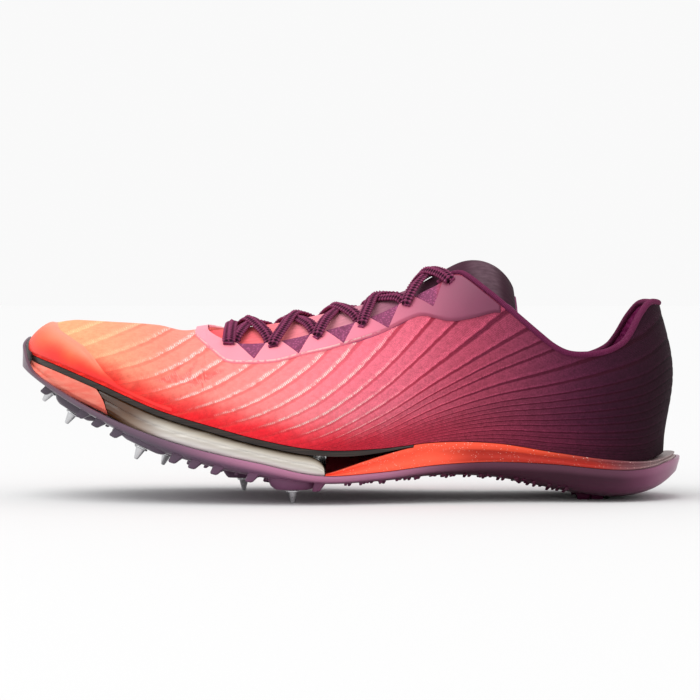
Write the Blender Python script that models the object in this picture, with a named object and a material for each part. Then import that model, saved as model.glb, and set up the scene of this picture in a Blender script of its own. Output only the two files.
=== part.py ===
"""Track spike shoe for the left foot, as an assembly of separate pieces.

The toe points to -X, the heel to +X, the outer (lateral) side to -Y and the inner (medial) side to +Y.
The floor is at z = 0. The shoe stands on the flat tips of its two rear pins and on its heel lugs.
All lengths are in metres.
"""
import math
from collections import namedtuple

import bmesh
import bpy
from mathutils import Vector

# Main sizes
LAST_LENGTH = 0.2750     # from the back of the heel to the tip of the toe, along the edge of the footbed
BALL_WIDTH = 0.093       # across the ball of the foot
TOE_LIFT = 0.0623        # from the floor to the footbed edge at the tip of the toe
ANKLE_RISE = 0.100       # from the footbed to the closed top of the form over the heel
TOE_REACH = 0.0035       # spike plate in front of the last
TAIL_REACH = 0.0065      # spike plate behind the last
GAP = 0.0003             # between pieces that touch

# Wall and layer thicknesses
UPPER_WALL = 0.0013
OVERLAY_THICK = 0.0009
OVERLAY_ROOT = 0.0005    # overlays start this deep in the wall before the upper is cut out of them
INSOLE_THICK = 0.0028
INSOLE_EDGE = 0.6
INSOLE_ACROSS = (0.0, 0.7, 0.94)
INSOLE_UNDER = (1.0, 0.7, 0.0)
TONGUE_THICK = 0.0022
CARBON_THICK = 0.0022
SHELL_THICK = 0.0015
RIM_HEIGHT = 0.0010      # upright edge band along the rim of the spike plate
RIM_GROW = 0.0006        # the rim stands out by this much past the pieces above it
TOE_LIP_RISE = 0.0115    # how far the spike plate curls up in front of the toe
BINDING_RADIUS = 0.0012

# Eyelets, notches and laces
EYELET_COUNT = 6
EYELET_RADIUS = 0.0017
EYELET_INSET = 0.0060    # from the throat edge to the middle of an eyelet
FIRST_EYELET = 0.6830    # share of the last's length from the heel
LAST_EYELET = 0.3360
LACE_WIDTH = 0.0036
LACE_THICK = 0.0018

# Pins and lugs
PIN_FLANGE_RADIUS = 0.0030
PIN_FLANGE_THICK = 0.0008
PIN_NECK_RADIUS = 0.0018
PIN_TIP_RADIUS = 0.0006
PIN_LENGTH = 0.0055
LUG_HEIGHT = 0.0034
LUG_SIZE = 0.0052
TOOTH_HEIGHT = 0.0015
TOOTH_SIZE = 0.0036

TOTAL_LENGTH = LAST_LENGTH + TOE_REACH + TAIL_REACH
HEEL_X = TOTAL_LENGTH / 2 - TAIL_REACH
LATERAL = -1
MEDIAL = 1

# Sections of the last. Widths and offsets are shares of BALL_WIDTH, the footbed's height is a share of
# TOE_LIFT and the rise of the closed form over it a share of ANKLE_RISE. Station 0 is the heel, 1 the toe.
Section = namedtuple("Section", "station middle lateral medial footbed rise ridge round_l round_m bulge")
LAST = [
    Section(0.00, 0.000, 0.360, 0.360, 0.321, 1.000, 0.000, 3.60, 3.60, 0.120),
    Section(0.04, 0.000, 0.360, 0.360, 0.279, 1.000, 0.000, 2.50, 2.50, 0.110),
    Section(0.10, 0.000, 0.360, 0.355, 0.294, 1.000, 0.000, 1.90, 1.90, 0.070),
    Section(0.18, 0.000, 0.357, 0.333, 0.343, 1.000, 0.000, 1.80, 1.80, 0.040),
    Section(0.27, 0.005, 0.366, 0.301, 0.406, 0.870, 0.000, 1.75, 1.80, 0.030),
    Section(0.36, 0.011, 0.403, 0.306, 0.416, 0.710, 0.022, 1.85, 1.90, 0.030),
    Section(0.45, 0.016, 0.462, 0.349, 0.376, 0.635, 0.054, 1.65, 1.85, 0.030),
    Section(0.54, 0.027, 0.527, 0.419, 0.371, 0.575, 0.075, 1.55, 1.85, 0.030),
    Section(0.63, 0.038, 0.538, 0.462, 0.440, 0.485, 0.091, 1.50, 1.90, 0.030),
    Section(0.72, 0.048, 0.516, 0.452, 0.546, 0.394, 0.097, 1.60, 2.00, 0.030),
    Section(0.76, 0.054, 0.505, 0.430, 0.597, 0.350, 0.097, 1.75, 2.05, 0.030),
    Section(0.80, 0.059, 0.489, 0.403, 0.658, 0.335, 0.097, 1.90, 2.10, 0.035),
    Section(0.88, 0.075, 0.457, 0.344, 0.811, 0.255, 0.097, 2.20, 2.20, 0.045),
    Section(0.95, 0.086, 0.430, 0.312, 0.931, 0.190, 0.097, 2.30, 2.30, 0.035),
    Section(1.00, 0.086, 0.409, 0.301, 1.000, 0.147, 0.097, 2.30, 2.30, 0.030),
]

# Spike plate: height of its rim and of its belly as shares of TOE_LIFT, and how square its bowl is.
Sole = namedtuple("Sole", "station rim belly square")
SOLE = [
    Sole(0.00, 0.273, 0.100, 3.4),
    Sole(0.02, 0.247, 0.032, 3.5),
    Sole(0.04, 0.218, 0.014, 3.6),
    Sole(0.07, 0.201, 0.012, 3.6),
    Sole(0.10, 0.205, 0.018, 3.4),
    Sole(0.14, 0.222, 0.038, 3.1),
    Sole(0.18, 0.241, 0.070, 2.8),
    Sole(0.27, 0.260, 0.148, 2.6),
    Sole(0.36, 0.242, 0.165, 2.6),
    Sole(0.45, 0.197, 0.130, 2.6),
    Sole(0.54, 0.181, 0.116, 2.6),
    Sole(0.63, 0.262, 0.152, 2.6),
    Sole(0.72, 0.348, 0.235, 2.6),
    Sole(0.80, 0.453, 0.345, 2.6),
    Sole(0.88, 0.599, 0.530, 2.6),
    Sole(0.95, 0.770, 0.710, 2.6),
    Sole(1.00, 0.915, 0.875, 2.6),
]

# Top of the collar binding over the footbed, as a share of ANKLE_RISE.
Collar = namedtuple("Collar", "station rise")
COLLAR = [
    Collar(0.000, 0.655),
    Collar(0.026, 0.680),
    Collar(0.043, 0.640),
    Collar(0.061, 0.560),
    Collar(0.074, 0.515),
    Collar(0.099, 0.472),
    Collar(0.129, 0.448),
    Collar(0.158, 0.440),
    Collar(0.180, 0.458),
    Collar(0.203, 0.498),
    Collar(0.249, 0.587),
    Collar(0.288, 0.667),
    Collar(0.317, 0.726),
    Collar(0.329, 0.731),
    Collar(0.349, 0.719),
    Collar(0.380, 0.700),
]


def reading(table, column, station):
    """Smooth curve through one column of a table of rows sorted by station."""
    station = min(max(station, table[0].station), table[-1].station)
    i = 0
    while i < len(table) - 2 and station > table[i + 1].station:
        i += 1
    at = [row.station for row in table]
    value = [getattr(row, column) for row in table]

    def slope(k):
        low = max(k - 1, 0)
        high = min(k + 1, len(table) - 1)
        return (value[high] - value[low]) / (at[high] - at[low])

    span = at[i + 1] - at[i]
    t = (station - at[i]) / span
    return ((2 * t**3 - 3 * t**2 + 1) * value[i] + (t**3 - 2 * t**2 + t) * span * slope(i)
            + (3 * t**2 - 2 * t**3) * value[i + 1] + (t**3 - t**2) * span * slope(i + 1))


def step(t):
    """0 below 0, 1 above 1, and smooth between."""
    t = min(max(t, 0.0), 1.0)
    return t * t * (3 - 2 * t)


def mix(a, b, t):
    return a + (b - a) * t


# Plan of the last

END_EASE = 0.12          # share of the ribs that crowd into each round end
FAN = 0.30               # share of the ribs that lean towards a pole inside each round end
HEEL_POLE = 0.130        # how far each pole lies inside the last, as a share of its length
TOE_POLE = 0.073
HEEL_ROUND = 0.130       # length of each round end and the power of its curve
TOE_ROUND = 0.165
HEEL_POWER = 2.1
TOE_POWER = 2.2
TAIL_STRETCH = 0.25      # share of the length over which tail and toe reach fade out
TOE_STRETCH = 0.15


def foot_station(u):
    """Station of the plan outline at rib u, 0 at the heel and 1 at the toe."""
    if u < END_EASE:
        return u * u / (2 * END_EASE * (1 - END_EASE))
    if u > 1 - END_EASE:
        return 1 - foot_station(1 - u)
    return (u - END_EASE / 2) / (1 - END_EASE)


def rib_at(station):
    """Rib whose foot lies at a station of the plan outline."""
    low, high = 0.0, 1.0
    for _ in range(40):
        middle = (low + high) / 2
        if foot_station(middle) < station:
            low = middle
        else:
            high = middle
    return low


def spine_station(u):
    return (foot_station(u) + HEEL_POLE * (1 - step(u / FAN))
            - TOE_POLE * (1 - step((1 - u) / FAN)))


def end_round(station):
    heel = min(station / HEEL_ROUND, 1.0)
    toe = min((1 - station) / TOE_ROUND, 1.0)
    return ((1 - (1 - heel) ** HEEL_POWER) ** (1 / HEEL_POWER)
            * (1 - (1 - toe) ** TOE_POWER) ** (1 / TOE_POWER))


def x_at(station, reach=0.0):
    """X of a station; reach 1 adds the tail and toe reach of the spike plate."""
    tail = TAIL_REACH * max(1 - station / TAIL_STRETCH, 0.0) ** 2
    toe = TOE_REACH * max(1 - (1 - station) / TOE_STRETCH, 0.0) ** 2
    return HEEL_X - LAST_LENGTH * station + reach * (tail - toe)


def outline(station, side, reach=0.0):
    """Point of the plan outline."""
    half = reading(LAST, "lateral" if side == LATERAL else "medial", station)
    middle = reading(LAST, "middle", station)
    return Vector((x_at(station, reach), BALL_WIDTH * (middle + side * half * end_round(station)), 0))


def foot(u, side, grow=0.0, reach=0.0):
    """Plan outline at rib u, moved outwards by grow."""
    here = outline(foot_station(u), side, reach)
    if grow == 0.0:
        return here
    small = 0.002
    if u < small or u > 1 - small:
        inner = u + small if u < small else u - small
        along = outline(foot_station(inner), MEDIAL, reach) - outline(foot_station(inner), LATERAL, reach)
        outward = Vector((along.y, -along.x, 0)) * (1 if u < small else -1)
    else:
        along = outline(foot_station(u + small), side, reach) - outline(foot_station(u - small), side, reach)
        outward = Vector((along.y, -along.x, 0)) * side
    return here + outward.normalized() * grow


def spine(u, reach=0.0):
    station = spine_station(u)
    return Vector((x_at(station, reach), BALL_WIDTH * reading(LAST, "middle", station), 0))


def footbed(station):
    return TOE_LIFT * reading(LAST, "footbed", station)


def station_of(x):
    return (HEEL_X - x) / LAST_LENGTH


# Form of the last above the footbed

BULGE_TOP = 0.70         # share of the rise below which the wall bellies out


def form_point(u, side, climb):
    """Point on the closed last: climb is 0 at the footbed's edge and 1 on the ridge."""
    here = foot_station(u)
    top = spine_station(u)
    start = outline(here, side)
    ridge = Vector((x_at(top), BALL_WIDTH * reading(LAST, "ridge", top), 0))
    power = reading(LAST, "round_l" if side == LATERAL else "round_m", here)
    angle = climb * math.pi / 2
    height = math.sin(angle) ** (2 / power)
    reach = max(math.cos(angle), 0.0) ** (2 / power)
    belly = reading(LAST, "bulge", here) * math.sin(math.pi * min(height / BULGE_TOP, 1.0)) ** 2
    low = footbed(here)
    high = footbed(top) + ANKLE_RISE * reading(LAST, "rise", top)
    place = ridge + (start - ridge) * (reach + belly)
    place.z = mix(low, high, height)
    return place


def form_normal(u, side, climb):
    """Outward direction of the form."""
    small = 0.004
    climb = min(max(climb, small), 1 - small)
    if u < small or u > 1 - small:
        inner = u + small if u < small else u - small
        across = form_point(inner, MEDIAL, climb) - form_point(inner, LATERAL, climb)
        across *= 1 if u < small else -1
    else:
        across = (form_point(u + small, side, climb) - form_point(u - small, side, climb)) * side
    up = form_point(u, side, climb + small) - form_point(u, side, climb - small)
    return across.cross(up).normalized()


def form(u, side, climb, out=0.0):
    """Point at a distance out from the form, along its normal."""
    normal = form_normal(u, side, climb)
    if climb > 0.999:
        normal = (normal + form_normal(u, -side, climb)).normalized()
    return form_point(u, side, climb) + normal * out


def climb_where(u, side, test):
    """Climb at which test(point) turns positive, going up rib u."""
    low, high = 0.0, 1.0
    for _ in range(30):
        middle = (low + high) / 2
        if test(form_point(u, side, middle)) > 0:
            high = middle
        else:
            low = middle
    return high


# Opening of the upper

# Half the gap between the two sides of the throat, as a share of BALL_WIDTH
Throat = namedtuple("Throat", "station half")
THROAT = [
    Throat(0.34, 0.128),
    Throat(0.40, 0.130),
    Throat(0.47, 0.150),
    Throat(0.54, 0.172),
    Throat(0.63, 0.190),
    Throat(0.72, 0.180),
]
THROAT_END = 0.7200      # stations of the throat's front end and of the corner where the collar starts
COLLAR_START = 0.3450
CORNER_SPREAD = 0.030
THROAT_ROUND = 0.060
THROAT_STEPS = (0.0, 0.004, 0.014)   # ribs that round the front of the throat
BINDING_RISE = 2 * BINDING_RADIUS + GAP
MEDIAL_DIP = 0.0022      # the collar is this much lower on the medial side
DIP_ENDS = (0.02, 0.08, 0.26, 0.33)


def collar_climb(u, side):
    def above(point):
        station = station_of(point.x)
        rise = ANKLE_RISE * reading(COLLAR, "rise", station)
        if side == MEDIAL:
            start, full, fade, end = DIP_ENDS
            rise -= MEDIAL_DIP * step((station - start) / (full - start)) * step((end - station) / (end - fade))
        return point.z - footbed(station) - rise + BINDING_RISE
    return climb_where(u, side, above)


def throat_climb(u, side, inset=0.0):
    station = foot_station(u)
    ahead = min(max((THROAT_END - station) / THROAT_ROUND, 0.0), 1.0)
    half = BALL_WIDTH * reading(THROAT, "half", station) * math.sqrt(1 - (1 - ahead) ** 2) + inset
    middle = BALL_WIDTH * reading(LAST, "middle", station)
    return climb_where(u, side, lambda point: half - abs(point.y - middle))


def edge_climb(u, side):
    """Climb of the upper's top edge, or 1 where the vamp closes over the foot."""
    station = foot_station(u)
    if station >= THROAT_END:
        return 1.0
    share = step((station - COLLAR_START) / CORNER_SPREAD + 0.5)
    if share <= 0:
        return collar_climb(u, side)
    if share >= 1:
        return throat_climb(u, side)
    return mix(collar_climb(u, side), throat_climb(u, side), share)


# Mesh helpers

WELD = 6                 # decimals of a metre at which two corners count as one


def paint(name, color, roughness, metallic=0.0):
    """Principled material of one piece."""
    material = bpy.data.materials.new(name)
    material.use_nodes = True
    shader = material.node_tree.nodes["Principled BSDF"]
    shader.inputs["Base Color"].default_value = (*color, 1)
    shader.inputs["Roughness"].default_value = roughness
    shader.inputs["Metallic"].default_value = metallic
    return material


def solid(name, corners, faces, material):
    """Object from corners and faces, with its normals pointing out and its round parts shaded smooth."""
    mesh = bpy.data.meshes.new(name)
    mesh.from_pydata([tuple(corner) for corner in corners], [], faces)
    work = bmesh.new()
    work.from_mesh(mesh)
    bmesh.ops.remove_doubles(work, verts=work.verts, dist=10 ** -WELD)
    bmesh.ops.triangulate(work, faces=[face for face in work.faces if len(face.verts) > 4])
    bmesh.ops.recalc_face_normals(work, faces=work.faces)
    if work.calc_volume(signed=True) < 0:
        bmesh.ops.reverse_faces(work, faces=work.faces)
    work.to_mesh(mesh)
    work.free()
    mesh.shade_smooth()
    mesh.set_sharp_from_angle(angle=math.radians(40))
    mesh.materials.append(material)
    piece = bpy.data.objects.new(name, mesh)
    bpy.context.scene.collection.objects.link(piece)
    return piece


def thicken(name, strips, inner, outer, material):
    """Sheet between two distances from the form. A strip is a list of columns of (rib, side, climb) of
    equal length; strips that meet on the ridge share its points."""
    index = {}
    params = []
    pairs = []
    for strip in strips:
        rows = []
        for column in strip:
            row = []
            for u, side, climb in column:
                point = form_point(u, side, climb)
                key = tuple(round(value, WELD - 1) for value in point)
                if key not in index:
                    index[key] = len(params)
                    params.append((u, side, climb))
                row.append(index[key])
            rows.append(row)
        pairs += list(zip(rows, rows[1:]))
    faces = []
    for left, right in pairs:
        for i in range(len(left) - 1):
            ring = [left[i], left[i + 1], right[i + 1], right[i]]
            ring = [v for k, v in enumerate(ring) if v != ring[k - 1]]
            for k in range(1, len(ring) - 1):
                if len({ring[0], ring[k], ring[k + 1]}) == 3:
                    faces.append([ring[0], ring[k], ring[k + 1]])
    count = len(params)
    corners = [form(*param, outer) for param in params] + [form(*param, inner) for param in params]
    used = {}
    for face in faces:
        for k, v in enumerate(face):
            used[(face[k - 1], v)] = True
    walls = [[b, a, a + count, b + count] for a, b in used if (b, a) not in used]
    back = [[v + count for v in reversed(face)] for face in faces]
    return solid(name, corners, faces + back + walls, material)


def loft(name, ribs, profile, material):
    """Closed piece from one profile a side at each rib. A profile runs from the spine's top, over the
    edge, to the spine's bottom; at the very heel and toe both sides share one profile."""
    corners = []
    rings = []
    for u in ribs:
        lateral = profile(u, LATERAL)
        start = len(corners)
        corners += lateral
        ring = list(range(start, len(corners)))
        if u in (0.0, 1.0):
            ring += list(reversed(ring[1:-1]))
        else:
            start = len(corners)
            corners += profile(u, MEDIAL)[1:-1]
            ring += list(reversed(range(start, len(corners))))
        rings.append(ring)
    faces = []
    for left, right in zip(rings, rings[1:]):
        centre = corners[left[0]].xy
        for i in range(len(left)):
            near = (corners[left[i - 1]].xy - centre).length < (corners[left[i]].xy - centre).length
            ring = [left[i - 1], left[i], right[i], right[i - 1]]
            ring = ring if near else ring[1:] + ring[:1]
            faces += [ring[:3], [ring[0], ring[2], ring[3]]]
    for u, ring, turn in ((ribs[0], rings[0], 1), (ribs[-1], rings[-1], -1)):
        if u not in (0.0, 1.0):
            half = (len(ring) + 2) // 2
            faces.append(ring[:half][::turn])
            faces.append(([ring[0], ring[half - 1]] + ring[half:])[::turn])
    return solid(name, corners, faces, material)


def unite(piece, parts, operation="UNION", solver="EXACT"):
    """Join solids to a piece, or cut them from it, and drop them."""
    for part in parts:
        modifier = piece.modifiers.new(part.name, "BOOLEAN")
        modifier.solver = solver
        modifier.operation = operation
        modifier.object = part
        bpy.context.view_layer.update()
        graph = bpy.context.evaluated_depsgraph_get()
        result = bpy.data.meshes.new_from_object(piece.evaluated_get(graph))
        piece.modifiers.clear()
        old = piece.data
        piece.data = result
        bpy.data.meshes.remove(old)
        bpy.data.objects.remove(part)
    return piece


def join_loose(parts):
    """One mesh object from several that do not touch each other."""
    work = bmesh.new()
    for part in parts:
        work.from_mesh(part.data)
    mesh = bpy.data.meshes.new("joined")
    work.to_mesh(mesh)
    work.free()
    joined = bpy.data.objects.new("joined", mesh)
    bpy.context.scene.collection.objects.link(joined)
    for part in parts:
        bpy.data.objects.remove(part)
    return joined


# Ribs shared by the layers of the sole, with one at each place where a layer starts or ends

TOE_FOAM_END = 0.8830
AIR_REAR = 0.5330
WEDGE_TIP = 0.5315
CARBON_END = 0.3980
CUT_GAP = 0.0012         # share of the length left between layers that meet end to end
AIR_ROUND = 0.030        # share of the length over which the air bag's rear end rounds off
RIB_COUNT = 28


def shared_ribs():
    stations = [TOE_FOAM_END, TOE_FOAM_END - CUT_GAP, AIR_REAR, WEDGE_TIP, CARBON_END, CARBON_END - CUT_GAP]
    stations += [AIR_REAR + AIR_ROUND * share for share in (0.12, 0.4)]
    marks = [rib_at(station) for station in stations]
    ribs = []
    for k in range(RIB_COUNT + 1):
        u = k / RIB_COUNT
        if all(abs(u - mark) > 0.3 / RIB_COUNT for mark in marks):
            ribs.append(u)
    return sorted(ribs + marks)


RIBS = shared_ribs()
ACROSS = (0.0, 0.40, 0.70, 0.87, 0.96, 1.0)
FLARE = 10               # how sharply tail and toe flare out to the rim
LOW_REACH = 0.2          # share of the tail and toe reach at the bottom of the bowl


def rim_height(u):
    return TOE_LIFT * reading(SOLE, "rim", foot_station(u))


def bowl(u, side, across, inset, grow=RIM_GROW):
    """Point on the spike plate's bowl, or on one nested in it by inset."""
    edge = foot(u, side, grow - inset, reach=mix(LOW_REACH, 1.0, across ** FLARE))
    centre = spine(u, reach=LOW_REACH)
    place = centre + (edge - centre) * across
    rim = rim_height(u)
    station = mix(spine_station(u), foot_station(u), across)
    belly = TOE_LIFT * reading(SOLE, "belly", station) + inset
    depth = max(rim - belly, 0.0)
    square = reading(SOLE, "square", foot_station(u))
    place.z = rim - depth * (1 - across ** square) ** (1 / square)
    return place


def carbon_under(station):
    """Underside of the carbon plate, which thins out towards its rear end."""
    thin = step((station - CARBON_END) / 0.10)
    return footbed(station) - GAP - CARBON_THICK * mix(0.35, 1.0, thin)


def layer_point(u, side, across, height, grow=0.0, reach=0.0):
    """Point of a layer at a height that is a function of the station."""
    centre = spine(u, reach)
    place = centre + (foot(u, side, grow, reach) - centre) * across
    place.z = height(mix(spine_station(u), foot_station(u), across))
    return place


# Pieces

def clear_scene():
    for piece in list(bpy.data.objects):
        bpy.data.objects.remove(piece)


UPPER_RIBS = 34
UPPER_ROWS = 7


def upper_ribs():
    """Ribs of the upper, with some at the throat's front end and at the corner of the collar."""
    marks = [rib_at(THROAT_END - back) for back in THROAT_STEPS] + [rib_at(COLLAR_START)]
    ribs = [k / UPPER_RIBS for k in range(UPPER_RIBS + 1)]
    return sorted([u for u in ribs if all(abs(u - mark) > 0.3 / UPPER_RIBS for mark in marks)] + marks)


def upper_shell(name, inner, outer, material):
    """Hollow shell of the upper: closed over the vamp, open at throat and collar and underneath."""
    ribs = upper_ribs()
    loop = [(u, LATERAL) for u in ribs] + [(u, MEDIAL) for u in reversed(ribs[1:-1])]
    columns = []
    for u, side in loop:
        top = edge_climb(u, side)
        columns.append([(u, side, top * j / UPPER_ROWS) for j in range(UPPER_ROWS + 1)])
    return thicken(name, [columns + columns[:1]], inner, outer, material)


def make_upper():
    return upper_shell("upper", -UPPER_WALL, 0.0, paint("upper_weave", (0.80, 0.10, 0.12), 0.75))


def clear_of_upper(piece):
    """Cut the upper, grown by a gap, out of a piece that lies on it."""
    grown = upper_shell("grown", -UPPER_WALL - GAP, GAP, paint("plain", (0.5, 0.5, 0.5), 0.5))
    return unite(piece, [grown], "DIFFERENCE", "MANIFOLD")


CAP_EDGE = (              # edge of the toe cap: station over height, as a share of TOE_LIFT
    (0.62, 0.745), (0.69, 0.795), (0.77, 0.840), (0.88, 0.868), (0.99, 0.888),
    (1.06, 0.905), (1.11, 0.925), (1.165, 0.948), (1.22, 0.960), (1.30, 0.965),
)
CAP_START = 0.765
CAP_RIBS = 12
CAP_ROWS = 3
CAP_FOOT = 0.03          # climb of the cap's lower edge


def cap_station(height):
    """Station of the toe cap's edge at a height."""
    share = height / TOE_LIFT
    if share <= CAP_EDGE[0][0]:
        return CAP_EDGE[0][1]
    for (low, first), (high, second) in zip(CAP_EDGE, CAP_EDGE[1:]):
        if share <= high:
            return mix(first, second, (share - low) / (high - low))
    return CAP_EDGE[-1][1]


def make_toe_cap():
    """Smooth fused skin round the toe, low along both sides."""
    start = rib_at(CAP_START)
    ribs = [mix(start, 1.0, k / CAP_RIBS) for k in range(CAP_RIBS + 1)]
    loop = [(u, LATERAL) for u in ribs] + [(u, MEDIAL) for u in reversed(ribs[:-1])]
    columns = []
    for u, side in loop:
        top = climb_where(u, side, lambda point: cap_station(point.z) - station_of(point.x))
        columns.append([(u, side, mix(CAP_FOOT, max(top, 2 * CAP_FOOT), j / CAP_ROWS))
                        for j in range(CAP_ROWS + 1)])
    return thicken("toe_cap", [columns], -OVERLAY_ROOT, GAP + OVERLAY_THICK,
                   paint("toe_cap_film", (0.95, 0.16, 0.07), 0.45))


# Lower edge of the eyestay: its height over the floor as a share of ANKLE_RISE.
Band = namedtuple("Band", "station low")
BAND = [
    Band(0.262, 0.800),
    Band(0.273, 0.800),
    Band(0.305, 0.777),
    Band(0.340, 0.764),
    Band(0.382, 0.787),
    Band(0.409, 0.764),
    Band(0.444, 0.716),
    Band(0.495, 0.670),
    Band(0.524, 0.646),
    Band(0.567, 0.620),
    Band(0.611, 0.590),
    Band(0.655, 0.585),
    Band(0.685, 0.592),
    Band(0.705, 0.630),
    Band(0.738, 0.700),
]
BAND_LEAST = 0.0040      # narrowest part of the eyestay
BAND_BACK = 0.0009       # the film stops this far below the throat edge
NOTCH_HALF = 0.0052
NOTCH_DEPTH = 0.0098
BAND_ROWS = 2


def eyelet_station(k):
    return mix(FIRST_EYELET, LAST_EYELET, k / (EYELET_COUNT - 1))


def climb_below(u, side, start, distance):
    """Climb of the point that lies a distance down the form from climb start."""
    steps = 24
    last = form_point(u, side, start)
    walked = 0.0
    for k in range(1, steps * 3):
        climb = start - k / steps / 3
        if climb <= 0:
            return 0.0
        here = form_point(u, side, climb)
        walked += (here - last).length
        last = here
        if walked >= distance:
            return climb
    return 0.0


def band_top(u):
    """How far the band's top edge lies below the throat edge: 0, or deep in a V notch."""
    station = foot_station(u)
    for k in range(EYELET_COUNT - 1):
        middle = (eyelet_station(k) + eyelet_station(k + 1)) / 2
        off = abs(station - middle) * LAST_LENGTH
        if off < NOTCH_HALF:
            return NOTCH_DEPTH * (1 - off / NOTCH_HALF)
    return 0.0


def band_low(u, side, edge):
    """Climb of the band's lower edge."""
    low = ANKLE_RISE * reading(BAND, "low", foot_station(u))
    least = climb_below(u, side, edge, BAND_LEAST)
    return min(climb_where(u, side, lambda point: point.z - low), least)


def band_ribs():
    """Ribs of the eyestay, with one at each corner and tip of a notch and beside each eyelet."""
    marks = [BAND[-1].station, BAND[0].station, 0.30] + [THROAT_END - back for back in THROAT_STEPS]
    half = NOTCH_HALF / LAST_LENGTH
    for k in range(EYELET_COUNT):
        marks.append(eyelet_station(k))
        if k < EYELET_COUNT - 1:
            middle = (eyelet_station(k) + eyelet_station(k + 1)) / 2
            marks += [middle - half, middle - half / 2, middle, middle + half / 2, middle + half]
    return sorted(rib_at(mark) for mark in marks)


def band_edge(u, side):
    """Top of the band: the throat edge, or just short of the ridge at the front."""
    if foot_station(u) >= THROAT_END:
        return 1.0
    return edge_climb(u, side)


def make_eyestay():
    """U-shaped film round the throat, notched between the eyelets."""
    strips = []
    for side in (LATERAL, MEDIAL):
        columns = []
        for u in band_ribs():
            edge = band_edge(u, side)
            drop = band_top(u)
            if foot_station(u) < THROAT_END - CUT_GAP:
                drop = max(drop, BAND_BACK)
            top = climb_below(u, side, edge, drop) if drop > 0 else edge
            low = band_low(u, side, edge)
            columns.append([(u, side, mix(low, top, j / BAND_ROWS)) for j in range(BAND_ROWS + 1)])
        strips.append(columns if side == LATERAL else columns[::-1])
    return thicken("eyestay", strips, -OVERLAY_ROOT, GAP + OVERLAY_THICK,
                   paint("eyestay_film", (0.75, 0.28, 0.38), 0.35))


def eyelet_place(k, side):
    """Rib and climb of an eyelet."""
    u = rib_at(eyelet_station(k))
    return u, climb_below(u, side, edge_climb(u, side), EYELET_INSET)


EYELET_SIDES = 8
EYELET_CUT = 0.004       # half length of an eyelet's drill


def eyelet_drills():
    """Short rods through the wall at every eyelet."""
    rods = []
    for k in range(EYELET_COUNT):
        for side in (LATERAL, MEDIAL):
            u, climb = eyelet_place(k, side)
            rods.append(rod("drill", form(u, side, climb, -EYELET_CUT), form(u, side, climb, EYELET_CUT),
                            [(0.0, EYELET_RADIUS), (1.0, EYELET_RADIUS)], EYELET_SIDES))
    return join_loose(rods)


def rod(name, start, end, rings, sides, material=None):
    """Turned piece from start to end, with rings of (share of the length, radius)."""
    axis = (end - start).normalized()
    across = axis.orthogonal().normalized()
    other = axis.cross(across)
    corners = []
    for share, radius in rings:
        centre = start.lerp(end, share)
        for k in range(sides):
            angle = 2 * math.pi * k / sides
            corners.append(centre + (across * math.cos(angle) + other * math.sin(angle)) * radius)
    faces = [list(range(sides)), list(range(len(corners) - sides, len(corners)))]
    for r in range(len(rings) - 1):
        for k in range(sides):
            nxt = (k + 1) % sides
            faces.append([r * sides + k, r * sides + nxt, (r + 1) * sides + nxt, (r + 1) * sides + k])
    return solid(name, corners, faces, material or paint("plain", (0.5, 0.5, 0.5), 0.5))


def swept(name, path, normals, width, thick, sides, material):
    """Flat-oval cord along a path, with one normal a point."""
    corners = []
    for i, point in enumerate(path):
        along = path[min(i + 1, len(path) - 1)] - path[max(i - 1, 0)]
        across = along.cross(normals[i]).normalized()
        for k in range(sides):
            angle = 2 * math.pi * (k + 0.5) / sides
            corners.append(point + across * math.cos(angle) * width / 2
                           + normals[i] * math.sin(angle) * thick / 2)
    faces = [list(range(sides)), list(range(len(corners) - sides, len(corners)))]
    for r in range(len(path) - 1):
        for k in range(sides):
            nxt = (k + 1) % sides
            faces.append([r * sides + k, r * sides + nxt, (r + 1) * sides + nxt, (r + 1) * sides + k])
    return solid(name, corners, faces, material)


BINDING_SIDES = 6
TANGENT_STEP = 0.01


def make_binding():
    """Round bead on the collar's edge, from one top eyelet round the heel to the other."""
    end = rib_at(COLLAR_START)
    stops = [end] + [u for u in reversed(upper_ribs()) if u < end - 0.3 / UPPER_RIBS]
    path, normals = [], []
    for u, side in [(u, LATERAL) for u in stops] + [(u, MEDIAL) for u in reversed(stops[:-1])]:
        climb = edge_climb(u, side)
        edge = form(u, side, climb, -UPPER_WALL / 2)
        rise = (form(u, side, climb + TANGENT_STEP, 0) - form(u, side, climb - TANGENT_STEP, 0)).normalized()
        path.append(edge + rise * (BINDING_RADIUS + GAP + 0.0002))
        normals.append(form_normal(u, side, climb))
    return swept("collar_binding", path, normals, 2 * BINDING_RADIUS, 2.3 * BINDING_RADIUS, BINDING_SIDES,
                 paint("binding_knit", (0.20, 0.02, 0.10), 0.8))


TONGUE_FRONT = 0.700
TONGUE_BACK = 0.400
TONGUE_RIBS = 10
TONGUE_ROWS = 3
TONGUE_HALF = 0.0215
TONGUE_GAP = 0.0010
TONGUE_WRAP = 0.0060     # how far the tongue reaches under each side of the throat
CURL_REACH = 0.046
CURL_BEND = 1.4          # power of the arch across the free end
TONGUE_TILT = 0.6
# The tongue's free end, which rises over the collar and curls down: along and up as shares of CURL_REACH,
# half width as a share of TONGUE_HALF, and how far the sides hang as a share of CURL_REACH.
Curl = namedtuple("Curl", "along up half droop")
CURL = [
    Curl(0.13, 0.065, 0.62, 0.24),
    Curl(0.30, 0.165, 0.66, 0.33),
    Curl(0.48, 0.250, 0.72, 0.37),
    Curl(0.64, 0.262, 0.75, 0.36),
    Curl(0.78, 0.215, 0.75, 0.33),
    Curl(0.89, 0.125, 0.73, 0.29),
    Curl(0.96, 0.015, 0.70, 0.24),
    Curl(0.975, -0.09, 0.64, 0.18),
]


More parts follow.
